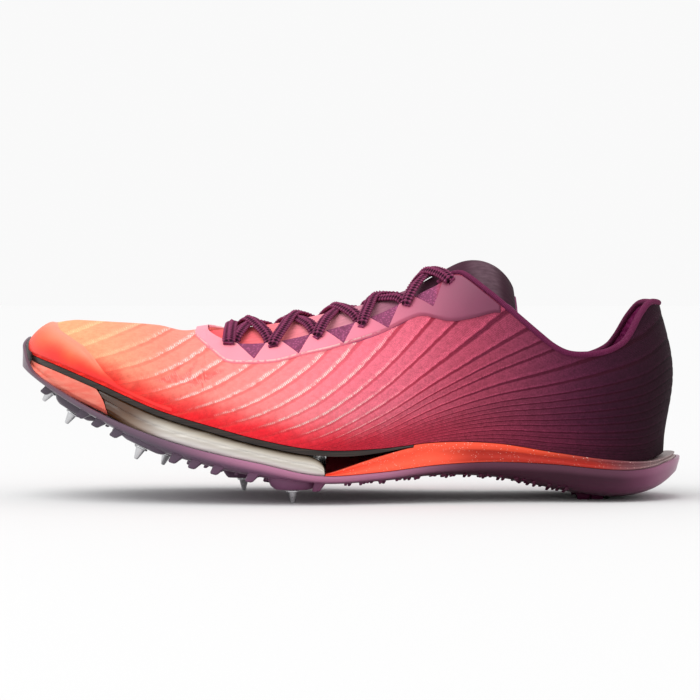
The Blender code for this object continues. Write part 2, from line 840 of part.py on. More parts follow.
def make_tongue():
    """Thin tongue: under the throat it lies inside the upper, and its end curls back over the collar."""
    outer = -(UPPER_WALL + TONGUE_GAP)
    rows = []
    shares = [j / TONGUE_ROWS - 1 for j in range(2 * TONGUE_ROWS + 1)]
    for k in range(TONGUE_RIBS + 1):
        u = rib_at(mix(TONGUE_FRONT, TONGUE_BACK, k / TONGUE_RIBS))
        row = []
        for share in shares:
            side = LATERAL if share < 0 else MEDIAL
            top = throat_climb(u, side, TONGUE_WRAP * step(k / 2))
            climb = mix(1.0, top, abs(share))
            row.append((form(u, side, climb, outer), form(u, side, climb, outer - TONGUE_THICK)))
        rows.append(row)
    root = rows[-1][TONGUE_ROWS][0]
    for curl in CURL:
        row = []
        before = CURL[max(CURL.index(curl) - 1, 0)]
        after = CURL[min(CURL.index(curl) + 1, len(CURL) - 1)]
        lean = Vector((-(after.up - before.up), 0, after.along - before.along)).normalized()
        for share in shares:
            ridge = BALL_WIDTH * reading(LAST, "ridge", station_of(root.x + curl.along * CURL_REACH))
            y = ridge + share * TONGUE_HALF * curl.half
            drop = curl.droop * CURL_REACH * abs(share) ** CURL_BEND
            place = Vector((root.x + curl.along * CURL_REACH, y, root.z + curl.up * CURL_REACH - drop))
            tilt = (lean + Vector((0, share * TONGUE_TILT, 0))).normalized()
            row.append((place, place - tilt * TONGUE_THICK))
        rows.append(row)
    corners, faces = [], []
    wide = len(shares)
    for row in rows:
        corners += [pair[0] for pair in row] + [pair[1] for pair in row]
    for r in range(len(rows) - 1):
        a, b = r * 2 * wide, (r + 1) * 2 * wide
        ring = list(range(wide)) + list(range(2 * wide - 1, wide - 1, -1))
        for i in range(len(ring)):
            faces.append([a + ring[i - 1], a + ring[i], b + ring[i], b + ring[i - 1]])
    for start in (0, (len(rows) - 1) * 2 * wide):
        for i in range(wide - 1):
            faces.append([start + i, start + i + 1, start + wide + i + 1, start + wide + i])
    return solid("tongue", corners, faces, paint("tongue_cloth", (0.12, 0.04, 0.08), 0.7))


INSOLE_INSET = UPPER_WALL + 0.0012
INSOLE_LIFT = 0.0003     # more than the common gap, over the curved layers


def make_insole():
    """Footbed inside the foot of the upper."""
    def profile(u, side):
        def at(w, rise):
            return layer_point(u, side, w, lambda s: footbed(s) + rise, -INSOLE_INSET)
        top = [at(w, INSOLE_LIFT + INSOLE_THICK) for w in INSOLE_ACROSS]
        edge = at(1.0, INSOLE_LIFT + INSOLE_EDGE * INSOLE_THICK)
        under = [at(w, INSOLE_LIFT) for w in INSOLE_UNDER]
        return top + [edge] + under
    return loft("insole", RIBS, profile, paint("insole_cloth", (0.10, 0.03, 0.06), 0.9))


def make_carbon_plate():
    """Stiff plate under the forefoot; its edge is the black line along the shoe."""
    def profile(u, side):
        top = [layer_point(u, side, w, lambda s: footbed(s) - GAP) for w in (0.0, 0.5, 1.0)]
        under = [layer_point(u, side, w, carbon_under) for w in (1.0, 0.5, 0.0)]
        return top + under
    return loft("carbon_plate", [u for u in RIBS if u >= rib_at(CARBON_END)], profile,
                paint("carbon_weave", (0.03, 0.025, 0.022), 0.35))


NEST = SHELL_THICK + GAP  # how far a layer's lower part sits inside the spike plate
STEP_UP = RIM_HEIGHT + GAP


def nested(u, side, flank, top, reach=0.0):
    """Profile of a layer that stands in the spike plate: its top, its flank above the rim, its belly."""
    points = [top(u, side, w) for w in ACROSS[:-1]]
    high = top(u, side, 1.0)
    low = foot(u, side, 0.0, reach)
    low.z = min(rim_height(u) + STEP_UP, high.z - 0.0002)
    for share, out in flank:
        point = high.lerp(low, share)
        outward = (foot(u, side, 0.001) - foot(u, side, 0.0)).normalized()
        points.append(point + outward * out)
    inner = bowl(u, side, 1.0, NEST)
    inner.z = low.z
    points.append(inner)
    points += [bowl(u, side, w, NEST) for w in reversed(ACROSS)]
    for point, cover in zip(reversed(points[len(ACROSS) + len(flank) :]), [top(u, side, w) for w in ACROSS]):
        point.z = min(point.z, cover.z - 0.0002)
    return points


def make_toe_foam():
    def top(u, side, w):
        return layer_point(u, side, w, lambda s: carbon_under(s) - GAP)
    flank = ((0.0, 0.0), (0.5, 0.0003), (1.0, 0.0))
    ribs = [u for u in RIBS if u >= rib_at(TOE_FOAM_END)]
    return loft("toe_foam", ribs, lambda u, side: nested(u, side, flank, top),
                paint("toe_foam_salmon", (0.95, 0.35, 0.27), 0.7))


def make_air_unit():
    """Clear bag with bulging sides; its rear end rounds off."""
    def top(u, side, w):
        point = layer_point(u, side, w, lambda s: carbon_under(s) - GAP)
        base = bowl(u, side, w, NEST).z
        share = min(max((foot_station(u) - AIR_REAR) / AIR_ROUND, 0.0), 1.0)
        keep = mix(0.45, 1.0, math.sqrt(1 - (1 - share) ** 2))
        point.z = mix(base, point.z, keep)
        return point
    flank = ((0.0, -0.0012), (0.2, -0.0004), (0.45, -0.0001), (0.55, -0.0005), (0.65, -0.0001), (1.0, -0.0004))
    first, last = rib_at(AIR_REAR), rib_at(TOE_FOAM_END - CUT_GAP)
    ribs = [u for u in RIBS if first <= u <= last]
    return loft("air_unit", ribs, lambda u, side: nested(u, side, flank, top),
                paint("air_film", (0.70, 0.66, 0.60), 0.15))


SCOOP_OUT = 0.80         # shares across between which the wedge's scooped front rises to the plate
SCOOP_IN = 0.55
WEDGE_RISE = 0.0018
FOAM_REACH = 0.75        # share of the tail that the foam fills


def make_heel_foam():
    """Foam from midfoot to heel: a wedge whose front is scooped out on both sides, with a long groove."""
    def top(u, side, w):
        here = foot_station(u)
        if here <= CARBON_END - CUT_GAP / 2:
            return layer_point(u, side, w, lambda s: footbed(s) - GAP, reach=FOAM_REACH)
        ramp = (WEDGE_TIP - here) / (WEDGE_TIP - CARBON_END)
        edge = mix(rim_height(u) + WEDGE_RISE, footbed(CARBON_END) - GAP - CARBON_THICK * 0.4, ramp)
        point = layer_point(u, side, w, lambda s: carbon_under(s) - GAP, reach=FOAM_REACH)
        share = step((w - SCOOP_IN) / (SCOOP_OUT - SCOOP_IN))
        point.z = mix(point.z, min(edge, point.z), share)
        return point
    flank = ((0.0, 0.0), (0.22, -0.0001), (0.38, -0.0009), (0.62, -0.0010), (0.80, -0.0001), (1.0, 0.0))
    return loft("heel_foam", [u for u in RIBS if u <= rib_at(WEDGE_TIP)],
                lambda u, side: nested(u, side, flank, top, FOAM_REACH),
                paint("heel_foam_orange", (0.90, 0.10, 0.03), 0.6))


LIP_START = 0.930        # rib from which the rim curls up in front of the toe
LIP_SHARES = (0.35, 0.70, 1.0)
LIP_GAP = 6 * GAP + OVERLAY_THICK
LIP_THICK = 0.0011

# Pins: station and share across of the foot of each; upright ones carry the shoe and end on the floor.
Pin = namedtuple("Pin", "station side across pod upright")
PINS = [
    Pin(0.985, LATERAL, 0.62, 0.0010, False),
    Pin(0.938, LATERAL, 0.62, 0.0030, False),
    Pin(0.815, LATERAL, 0.78, 0.0012, False),
    Pin(0.790, MEDIAL, 0.50, 0.0034, False),
    Pin(0.668, MEDIAL, 0.66, 0.0, True),
    Pin(0.582, LATERAL, 0.74, 0.0, True),
]
POD_RADIUS = 0.0062
POD_TIP_RADIUS = 0.0042
POD_LONG = 1.7           # pods are longer along the shoe than across it
POD_SIDES = 8
SINK = 0.0006            # how deep pods and lugs reach into the plate they grow from
PIN_SIDES = 8
PIN_ROOM = 0.0085        # distance kept between a pin's foot and the middle of a lug

LUG_STATIONS = (0.965, 0.905, 0.880, 0.850, 0.806, 0.757, 0.727, 0.693, 0.640, 0.540)
LUG_ACROSS = 0.86
INNER_LUG_STATIONS = (0.88, 0.74, 0.62)
INNER_LUG_ACROSS = 0.25
TOOTH_STATIONS = (0.480, 0.440, 0.400, 0.360, 0.320, 0.280, 0.245, 0.210, 0.175)
TOOTH_ACROSS = 0.80
REST_STATIONS = (0.060, 0.090)
REST_ACROSS = 0.42
REST_SIZE = 0.0060


def sole_point(station, side, across):
    """Point on the outside of the spike plate, and its outward direction."""
    u = rib_at(station)
    small = 0.01
    here = bowl(u, side, across, 0.0)
    along = bowl(u + small, side, across, 0.0) - bowl(u - small, side, across, 0.0)
    beside = bowl(u, side, across + small, 0.0) - bowl(u, side, across - small, 0.0)
    normal = along.cross(beside).normalized()
    return here, normal if normal.z < 0 else -normal


def pin_foot(pin):
    """Where a pin starts, and its direction."""
    here, down = sole_point(pin.station, pin.side, pin.across)
    if pin.upright:
        down = Vector((0, 0, -1))
        return Vector((here.x, here.y, PIN_LENGTH)), down, here
    return here + down * (pin.pod + GAP), down, here


def make_pin(number, pin):
    """Turned pin: flange, neck and cone, ending in a small flat."""
    start, down, _ = pin_foot(pin)
    flange = PIN_FLANGE_THICK / PIN_LENGTH
    rings = [(0.0, PIN_FLANGE_RADIUS), (flange, PIN_FLANGE_RADIUS * 0.94), (flange, PIN_NECK_RADIUS),
             (0.42, PIN_NECK_RADIUS * 0.95), (1.0, PIN_TIP_RADIUS)]
    return rod(f"pin_{number}", start, start + down * PIN_LENGTH, rings, PIN_SIDES,
               paint("pin_steel", (0.72, 0.72, 0.74), 0.25, 1.0))


def hug(piece, here, normal, low):
    """Tilt the top of an upright boss to the slope of the plate and leave its foot level."""
    for corner in piece.data.vertices:
        offset = corner.co - here
        share = min(max((corner.co.z - low) / (here.z - low), 0.0), 1.0)
        corner.co.z -= share * (normal.x * offset.x + normal.y * offset.y) / normal.z


def make_pod(pin):
    """Boss that carries a pin, long in the shoe's direction."""
    start, down, here = pin_foot(pin)
    _, normal = sole_point(pin.station, pin.side, pin.across)
    end = start - down * GAP
    pod = rod("pod", here - down * SINK, end, [(0.0, POD_RADIUS), (0.55, POD_RADIUS * 0.92),
                                              (1.0, POD_TIP_RADIUS)], POD_SIDES)
    along = Vector((1, 0, 0)) - down * down.x
    along.normalize()
    for corner in pod.data.vertices:
        offset = corner.co - here
        corner.co = corner.co + along * offset.dot(along) * (POD_LONG - 1)
    if pin.upright:
        hug(pod, here, normal, end.z)
    return pod


def make_lug(station, side, across, size, height, rake, taper=0.55):
    """Four-sided tapered lug, leaning forward by rake."""
    here, down = sole_point(station, side, across)
    along = (Vector((-1, 0, 0)) + down * down.x).normalized()
    beside = down.cross(along)
    corners = []
    for depth, share, lean in ((-SINK, 1.0, 0.0), (height, taper, rake)):
        centre = here + down * depth + along * lean
        for a, b in ((-1, -0.8), (1, -0.8), (1, 0.8), (-1, 0.8)):
            corners.append(centre + (along * a + beside * b) * size / 2 * share)
    faces = [[0, 1, 2, 3], [4, 5, 6, 7], [0, 1, 5, 4], [1, 2, 6, 5], [2, 3, 7, 6], [3, 0, 4, 7]]
    return solid("lug", corners, faces, paint("plain", (0.5, 0.5, 0.5), 0.5))


def make_rest_lug(station, side):
    """Heel lug with a level foot on the floor."""
    here, normal = sole_point(station, side, REST_ACROSS)
    corners = []
    for z, share in ((here.z + SINK, 1.0), (0.0, 0.8)):
        for a, b in ((-1, -1), (1, -1), (1, 1), (-1, 1)):
            corners.append(Vector((here.x + a * share * REST_SIZE / 2, here.y + b * share * REST_SIZE / 2, z)))
    faces = [[0, 1, 2, 3], [4, 5, 6, 7], [0, 1, 5, 4], [1, 2, 6, 5], [2, 3, 7, 6], [3, 0, 4, 7]]
    lug = solid("rest_lug", corners, faces, paint("plain", (0.5, 0.5, 0.5), 0.5))
    hug(lug, here, normal, 0.0)
    return lug


def lip_rise(u):
    return TOE_LIP_RISE * step((u - LIP_START) / (1 - LIP_START))


def rim_point(u, side, share, inset):
    """Point on the rim's upright band, which grows into the lip in front of the toe."""
    rim = rim_height(u)
    lip = lip_rise(u)
    z = rim + (RIM_HEIGHT + lip) * share
    upright = foot(u, side, RIM_GROW - inset, reach=1.0)
    upright.z = z
    if lip == 0.0:
        return upright
    out = LIP_GAP + LIP_THICK * (1 - inset / SHELL_THICK)
    if z <= footbed(foot_station(u)):
        close = foot(u, side, out)
    else:
        climb = climb_where(u, side, lambda point: point.z - z)
        close = form(u, side, climb, out)
    close.z = z
    return upright.lerp(close, step(share * lip / TOE_LIP_RISE * 1.6))


def free_of_pins(station, side, across):
    """Whether a lug here stays clear of every pin."""
    here, _ = sole_point(station, side, across)
    return all((pin_foot(pin)[0] - here).length > PIN_ROOM for pin in PINS)


def make_spike_plate():
    """Moulded shell that cups the whole underside, with pods, lugs, teeth and heel lugs grown on it."""
    def profile(u, side):
        inner = [bowl(u, side, w, SHELL_THICK) for w in ACROSS]
        inner += [rim_point(u, side, share, SHELL_THICK) for share in LIP_SHARES]
        outer = [rim_point(u, side, share, 0.0) for share in reversed(LIP_SHARES)]
        outer += [bowl(u, side, w, 0.0) for w in reversed(ACROSS)]
        return inner + outer
    plate = loft("spike_plate", RIBS, profile, paint("plate_mauve", (0.40, 0.22, 0.36), 0.3))
    grown = [make_pod(pin) for pin in PINS]
    for side in (LATERAL, MEDIAL):
        grown += [make_lug(s, side, LUG_ACROSS, LUG_SIZE, LUG_HEIGHT, 0.0018)
                  for s in LUG_STATIONS if free_of_pins(s, side, LUG_ACROSS)]
        grown += [make_lug(s, side, TOOTH_ACROSS, TOOTH_SIZE, TOOTH_HEIGHT, 0.0006) for s in TOOTH_STATIONS]
        grown += [make_rest_lug(s, side) for s in REST_STATIONS]
        grown += [make_lug(s, side, INNER_LUG_ACROSS, LUG_SIZE, LUG_HEIGHT * 0.7, 0.0012)
                  for s in INNER_LUG_STATIONS if free_of_pins(s, side, INNER_LUG_ACROSS)]
    return unite(plate, grown)


LACE_SIDES = 6
LACE_STEPS = 8
LACE_OVER_BAND = GAP + OVERLAY_THICK + GAP + LACE_THICK / 2
LACE_STOP = 0.0045       # a crossing stops this far inside the throat, where it dives under the eyestay


def lace_run(name, start, finish, dive, material):
    """One length of lace over the throat, from an eyelet to the far eyelet or to the far throat edge."""
    (u0, side0, climb0), (u1, side1, climb1) = start, finish
    path, normals = [], []
    for k in range(LACE_STEPS + 1):
        t = k / LACE_STEPS
        u = mix(u0, u1, t)
        side = side0 if t <= 0.5 else side1
        climb = mix(climb0, 1.0, t * 2) if t <= 0.5 else mix(1.0, climb1, t * 2 - 1)
        out = LACE_OVER_BAND - dive * 0.0006 * step(2 * t - 1)
        path.append(form(u, side, climb, out))
        normal = form_normal(u, side, climb)
        if k == LACE_STEPS / 2:
            normal = (normal + form_normal(u, -side, climb)).normalized()
        normals.append(normal)
    return swept(name, path, normals, LACE_WIDTH, LACE_THICK, LACE_SIDES, material)


def make_laces():
    """The bottom bar and the crossings above it."""
    pieces = []
    braid = paint("lace_braid", (0.18, 0.05, 0.12), 0.8)
    first_l, first_m = eyelet_place(0, LATERAL), eyelet_place(0, MEDIAL)
    pieces.append(lace_run("lace_bar", (first_l[0], LATERAL, first_l[1]), (first_m[0], MEDIAL, first_m[1]), 0, braid))
    for k in range(EYELET_COUNT - 1):
        runs = []
        for side in (LATERAL, MEDIAL):
            u0, climb0 = eyelet_place(k, side)
            u1, climb1 = eyelet_place(k + 1, -side)
            last = k == EYELET_COUNT - 2
            if not last:
                climb1 = throat_climb(u1, -side, -LACE_STOP)
            if k == 0:
                climb0 = throat_climb(u0, side, -LACE_STOP)
                u0 = rib_at(eyelet_station(0) - 0.02)
            runs.append(lace_run(f"lace_cross_{k + 1}", (u0, side, climb0), (u1, -side, climb1),
                                 0 if last else 1, braid))
        pieces.append(unite(runs[0], [runs[1]]))
    return pieces


def settle(pieces):
    """Move everything so that the middle of its box lies over the origin."""
    points = [corner.co for piece in pieces for corner in piece.data.vertices]
    middle = Vector(((min(p.x for p in points) + max(p.x for p in points)) / 2,
                     (min(p.y for p in points) + max(p.y for p in points)) / 2, 0))
    for piece in pieces:
        for corner in piece.data.vertices:
            corner.co -= middle


def build():
    clear_scene()
    drills = eyelet_drills()
    second = drills.copy()
    second.data = drills.data.copy()
    bpy.context.scene.collection.objects.link(second)
    upper = unite(make_upper(), [drills], "DIFFERENCE")
    eyestay = unite(clear_of_upper(make_eyestay()), [second], "DIFFERENCE", "MANIFOLD")
    pieces = [upper, eyestay, clear_of_upper(make_toe_cap()), make_binding(),
              make_tongue(), make_insole(),
              make_carbon_plate(), make_toe_foam(), make_air_unit(), make_heel_foam(), make_spike_plate()]
    pieces += [make_pin(number, pin) for number, pin in enumerate(PINS, 1)]
    pieces += make_laces()
    settle(pieces)


build()
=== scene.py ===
# %% [markdown]
# A track spike shoe, dressed round its solid model.
# The solid model gives every size and place. This script keeps those sizes and makes what a photographer's
# lens would see: woven cloth, fused film, braided lace, speckled foam, a clear air bag and a moulded plate.

# %% Load the solid model
import math
from collections import namedtuple

import bmesh
import bpy
import numpy as np
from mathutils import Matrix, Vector


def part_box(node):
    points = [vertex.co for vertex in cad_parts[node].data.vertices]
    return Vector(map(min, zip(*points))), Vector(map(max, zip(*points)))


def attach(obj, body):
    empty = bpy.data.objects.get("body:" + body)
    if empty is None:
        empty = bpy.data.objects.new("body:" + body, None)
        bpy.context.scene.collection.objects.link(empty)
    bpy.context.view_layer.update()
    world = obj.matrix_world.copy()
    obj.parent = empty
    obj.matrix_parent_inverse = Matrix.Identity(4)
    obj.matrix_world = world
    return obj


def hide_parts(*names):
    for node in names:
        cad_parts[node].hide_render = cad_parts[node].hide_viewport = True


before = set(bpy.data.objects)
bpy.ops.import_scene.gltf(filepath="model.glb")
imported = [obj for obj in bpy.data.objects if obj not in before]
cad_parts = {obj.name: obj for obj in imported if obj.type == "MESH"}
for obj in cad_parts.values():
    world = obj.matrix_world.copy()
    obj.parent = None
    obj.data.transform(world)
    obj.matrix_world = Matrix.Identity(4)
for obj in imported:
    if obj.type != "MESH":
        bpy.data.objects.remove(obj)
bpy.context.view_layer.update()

# %% [markdown]
# The view is a plain side view from a long lens about a metre away, slightly above the floor. A long lens keeps
# the toe and the heel at nearly the same scale. The camera looks down by about one degree.

# %% Camera
CAMERA_AWAY = 1.0
CAMERA_HEIGHT = 0.085
LENS_PIXELS = 2300       # focal length in pixels of a square frame
FRAME_PIXELS = 700
SENSOR = 36.0
DROP_PIXELS = 49         # how far the horizon lies above the middle of the frame

lens = bpy.data.cameras.new("camera")
lens.sensor_width = SENSOR
lens.lens = SENSOR * LENS_PIXELS / FRAME_PIXELS
camera = bpy.data.objects.new("camera", lens)
camera.location = (0, -CAMERA_AWAY, CAMERA_HEIGHT)
camera.rotation_euler = (math.pi / 2 - math.atan(DROP_PIXELS / LENS_PIXELS), 0, 0)
bpy.context.scene.collection.objects.link(camera)
bpy.context.scene.camera = camera
print("lens", round(lens.lens, 1), "mm")

# %% [markdown]
# The shoe stands on white paper under an even white sky, so the picture has no horizon. One broad lamp overhead
# gives the soft shadow under the sole, and a small one on the toe side gives the films their gloss.

# %% Socket class for material maths


def linear(r, g, b):
    """A colour given as 0 to 255 on a screen, as the renderer's linear value."""
    values = [c / 255 for c in (r, g, b)]
    return (*[v / 12.92 if v <= 0.04045 else ((v + 0.055) / 1.055) ** 2.4 for v in values], 1.0)


def dimmed(colour, share):
    """A linear colour with a share of its light."""
    return (*[share * value for value in colour[:3]], 1.0)


class Wire:
    """A socket of a node tree. Arithmetic on it adds Math nodes."""

    def __init__(self, tree, socket=None):
        self.tree = tree
        self.socket = socket

    def node(self, kind, settings=None, inputs=None, output=0):
        """Add a node from its type, its settings, and the values or wires of its sockets."""
        made = self.tree.nodes.new("ShaderNode" + kind)
        for name, value in (settings or {}).items():
            if name == "stops":
                set_stops(made.color_ramp, value)
            else:
                setattr(made, name, value)
        for name, value in (inputs or {}).items():
            if isinstance(value, Wire):
                self.tree.links.new(value.socket, made.inputs[name])
            else:
                made.inputs[name].default_value = value
        return Wire(self.tree, made.outputs[output])

    def calc(self, operation, *values):
        return self.node("Math", {"operation": operation}, dict(enumerate(values)))

    def __add__(self, other):
        return self.calc("ADD", self, other)

    __radd__ = __add__

    def __sub__(self, other):
        return self.calc("SUBTRACT", self, other)

    def __rsub__(self, other):
        return self.calc("SUBTRACT", other, self)

    def __mul__(self, other):
        return self.calc("MULTIPLY", self, other)

    __rmul__ = __mul__

    def __truediv__(self, other):
        return self.calc("DIVIDE", self, other)

    def __rtruediv__(self, other):
        return self.calc("DIVIDE", other, self)

    def fraction(self):
        return self.calc("FRACT", self)

    def scaled(self, amount):
        """A colour made lighter or darker by a factor."""
        return self.node("VectorMath", {"operation": "SCALE"}, {0: self, "Scale": amount})

    def wave(self):
        """Sine of the value in turns, from -1 to 1."""
        return self.calc("SINE", self * (2 * math.pi))

    def between(self, low, high):
        """0 below low, 1 above high and smooth between, or the reverse where low is the larger."""
        a, b = (low, high) if low < high else (high, low)
        ends = (0.0, 1.0) if low < high else (1.0, 0.0)
        settings = {"interpolation_type": "SMOOTHSTEP"}
        return self.node("MapRange", settings, {0: self, 1: a, 2: b, 3: ends[0], 4: ends[1]})

    def mark(self, name):
        """A number that the mesh holds at each corner."""
        return self.node("Attribute", {"attribute_name": name}, output=2)

    def place(self):
        return self.node("TexCoord", output=3)

    def stretched(self, x, y, z):
        """Object coordinates with each axis scaled."""
        return self.node("VectorMath", {"operation": "MULTIPLY"}, {0: self.place(), 1: (x, y, z)})

    def noise(self, scale, detail=2.0, vector=None):
        return self.node("TexNoise", None, {"Vector": vector or self.place(), "Scale": scale, "Detail": detail})

    def cells(self, scale, vector=None):
        return self.node("TexVoronoi", None, {"Vector": vector or self.place(), "Scale": scale})

    def ramp(self, stops):
        return self.node("ValToRGB", {"stops": stops}, {0: self})

    def blend(self, first, second):
        """Colour between two colours, with this socket as the share of the second."""
        return self.node("Mix", {"data_type": "RGBA"}, {0: self, 6: first, 7: second}, 2)

    def relief(self, distance):
        """Bump from a height in shares of distance."""
        return self.node("Bump", None, {"Height": self, "Distance": distance, "Strength": 1.0})


def set_stops(ramp, stops):
    """Give a colour ramp its stops, each a position and a screen colour."""
    ramp.interpolation = "B_SPLINE" if len(stops) > 4 else "LINEAR"
    while len(ramp.elements) < len(stops):
        ramp.elements.new(1.0)
    for element, (position, colour) in zip(ramp.elements, sorted(stops)):
        element.position = position
        element.color = linear(*colour)


def finish(name, make):
    """A material whose Principled sockets come from make(start), a table of socket names."""
    material = bpy.data.materials.new(name)
    material.use_nodes = True
    tree = material.node_tree
    shader = tree.nodes["Principled BSDF"]
    for socket, value in make(Wire(tree)).items():
        if isinstance(value, Wire):
            tree.links.new(value.socket, shader.inputs[socket])
        else:
            shader.inputs[socket].default_value = value
    return material


# %% Paper floor and lamps
FLOOR_HALF = 40.0
SKY = 0.95
SUN_POWER = 1.7
SUN_SPREAD = math.radians(50)
PAPER = (0.656, 0.656, 0.656, 1.0)
FIBRE = 1.01             # how much brighter the fibres are than the paper between them
OVERHEAD_AT = (-0.35, -0.25, 1.2)
TOE_SIDE_AT = (-0.9, -0.7, 0.55)
TOE_SIDE_POWER = 1.2
TOE_SIDE_SIZE = 0.6
SHOE_MIDDLE = (0, 0, 0.05)


def paper(start):
    """Matt paper with a faint grain."""
    grain = start.noise(900.0, 3.0)
    tone = grain.between(0.2, 0.8).blend(PAPER, dimmed(PAPER, FIBRE))
    return {"Base Color": tone, "Roughness": 1.0, "Specular IOR Level": 0.0}


def make_floor():
    """Wide sheet of paper under the shoe."""
    corners = [(a * FLOOR_HALF, b * FLOOR_HALF, 0.0) for a, b in ((-1, -1), (1, -1), (1, 1), (-1, 1))]
    mesh = bpy.data.meshes.new("paper_floor")
    mesh.from_pydata(corners, [], [(0, 1, 2, 3)])
    mesh.materials.append(finish("floor_paper", paper))
    floor = bpy.data.objects.new("paper_floor", mesh)
    bpy.context.scene.collection.objects.link(floor)


def lamp(name, kind, place, aim, power, **settings):
    """Lamp that looks at a point."""
    light = bpy.data.lights.new(name, kind)
    light.energy = power
    for setting, value in settings.items():
        setattr(light, setting, value)
    holder = bpy.data.objects.new(name, light)
    holder.location = place
    holder.rotation_euler = (Vector(aim) - Vector(place)).to_track_quat("-Z", "Y").to_euler()
    bpy.context.scene.collection.objects.link(holder)


make_floor()
lamp("overhead", "SUN", OVERHEAD_AT, (0, 0, 0), SUN_POWER, angle=SUN_SPREAD)
lamp("toe_side", "AREA", TOE_SIDE_AT, SHOE_MIDDLE, TOE_SIDE_POWER, size=TOE_SIDE_SIZE)
world = bpy.data.worlds.new("studio")
world.use_nodes = True
world.node_tree.nodes["Background"].inputs["Color"].default_value = (1, 1, 1, 1)
world.node_tree.nodes["Background"].inputs["Strength"].default_value = SKY
bpy.context.scene.world = world
bpy.context.scene.view_settings.view_transform = "Standard"
print("stage ready")

# %% [markdown]
# A shoe is drawn from its last, the foot-shaped form that the upper is pulled over. The tables give that form in
# shares of a few sizes, from the heel at station 0 to the toe at station 1. Every piece of the shoe is then a
# distance out from this form, so pieces that touch in the real shoe touch here too.

# %% Sizes and tables of the last
LAST_LENGTH = 0.2750
BALL_WIDTH = 0.093
TOE_LIFT = 0.0623
ANKLE_RISE = 0.100
TOE_REACH = 0.0035
TAIL_REACH = 0.0065
GAP = 0.0003
UPPER_WALL = 0.0013
HEEL_X = (LAST_LENGTH + TOE_REACH - TAIL_REACH) / 2
LATERAL = -1
MEDIAL = 1

Section = namedtuple("Section", "station middle lateral medial footbed rise ridge round_l round_m bulge")
LAST = [
    Section(0.00, 0.000, 0.360, 0.360, 0.321, 1.000, 0.000, 3.60, 3.60, 0.120),
    Section(0.04, 0.000, 0.360, 0.360, 0.279, 1.000, 0.000, 2.50, 2.50, 0.110),
    Section(0.10, 0.000, 0.360, 0.355, 0.294, 1.000, 0.000, 1.90, 1.90, 0.070),
    Section(0.18, 0.000, 0.357, 0.333, 0.343, 1.000, 0.000, 1.80, 1.80, 0.040),
    Section(0.27, 0.005, 0.366, 0.301, 0.406, 0.870, 0.000, 1.75, 1.80, 0.030),
    Section(0.36, 0.011, 0.403, 0.306, 0.416, 0.710, 0.022, 1.85, 1.90, 0.030),
    Section(0.45, 0.016, 0.462, 0.349, 0.376, 0.635, 0.054, 1.65, 1.85, 0.030),
    Section(0.54, 0.027, 0.527, 0.419, 0.371, 0.575, 0.075, 1.55, 1.85, 0.030),
    Section(0.63, 0.038, 0.538, 0.462, 0.440, 0.485, 0.091, 1.50, 1.90, 0.030),
    Section(0.72, 0.048, 0.516, 0.452, 0.546, 0.394, 0.097, 1.60, 2.00, 0.030),
    Section(0.76, 0.054, 0.505, 0.430, 0.597, 0.350, 0.097, 1.75, 2.05, 0.030),
    Section(0.80, 0.059, 0.489, 0.403, 0.658, 0.335, 0.097, 1.90, 2.10, 0.035),
    Section(0.88, 0.075, 0.457, 0.344, 0.811, 0.255, 0.097, 2.20, 2.20, 0.045),
    Section(0.95, 0.086, 0.430, 0.312, 0.931, 0.190, 0.097, 2.30, 2.30, 0.035),
    Section(1.00, 0.086, 0.409, 0.301, 1.000, 0.147, 0.097, 2.30, 2.30, 0.030),
]
Sole = namedtuple("Sole", "station rim belly square")
SOLE = [
    Sole(0.00, 0.273, 0.100, 3.4),
    Sole(0.02, 0.247, 0.032, 3.5),
    Sole(0.04, 0.218, 0.014, 3.6),
    Sole(0.07, 0.201, 0.012, 3.6),
    Sole(0.10, 0.205, 0.018, 3.4),
    Sole(0.14, 0.222, 0.038, 3.1),
    Sole(0.18, 0.241, 0.070, 2.8),
    Sole(0.27, 0.260, 0.148, 2.6),
    Sole(0.36, 0.242, 0.165, 2.6),
    Sole(0.45, 0.197, 0.130, 2.6),
    Sole(0.54, 0.181, 0.116, 2.6),
    Sole(0.63, 0.262, 0.152, 2.6),
    Sole(0.72, 0.348, 0.235, 2.6),
    Sole(0.80, 0.453, 0.345, 2.6),
    Sole(0.88, 0.599, 0.530, 2.6),
    Sole(0.95, 0.770, 0.710, 2.6),
    Sole(1.00, 0.915, 0.875, 2.6),
]
print(len(LAST), "sections of the last,", len(SOLE), "of the sole")

# %% Reading the tables


def reading(table, column, station):
    """Smooth curve through one column of a table, at many stations at once."""
    at = np.array([row.station for row in table])
    value = np.array([getattr(row, column) for row in table])
    order = np.arange(len(at))
    low, high = np.maximum(order - 1, 0), np.minimum(order + 1, len(at) - 1)
    slope = (value[high] - value[low]) / (at[high] - at[low])
    s = np.clip(station, at[0], at[-1])
    i = np.clip(np.searchsorted(at, s) - 1, 0, len(at) - 2)
    span = at[i + 1] - at[i]
    t = (s - at[i]) / span
    return ((2 * t**3 - 3 * t**2 + 1) * value[i] + (t**3 - 2 * t**2 + t) * span * slope[i]
            + (3 * t**2 - 2 * t**3) * value[i + 1] + (t**3 - t**2) * span * slope[i + 1])


def step(t):
    t = np.clip(t, 0.0, 1.0)
    return t * t * (3 - 2 * t)


def mix(a, b, t):
    return a + (b - a) * t


def stack(x, y, z):
    return np.stack(np.broadcast_arrays(x, y, z), axis=-1).astype(float)


def unit(vectors):
    return vectors / np.maximum(np.linalg.norm(vectors, axis=-1, keepdims=True), 1e-12)


def column(values):
    """Numbers shaped to multiply points."""
    return np.asarray(values, float)[..., None]


print("rise of the ankle over its footbed", float(reading(LAST, "rise", 0.2)) * ANKLE_RISE)

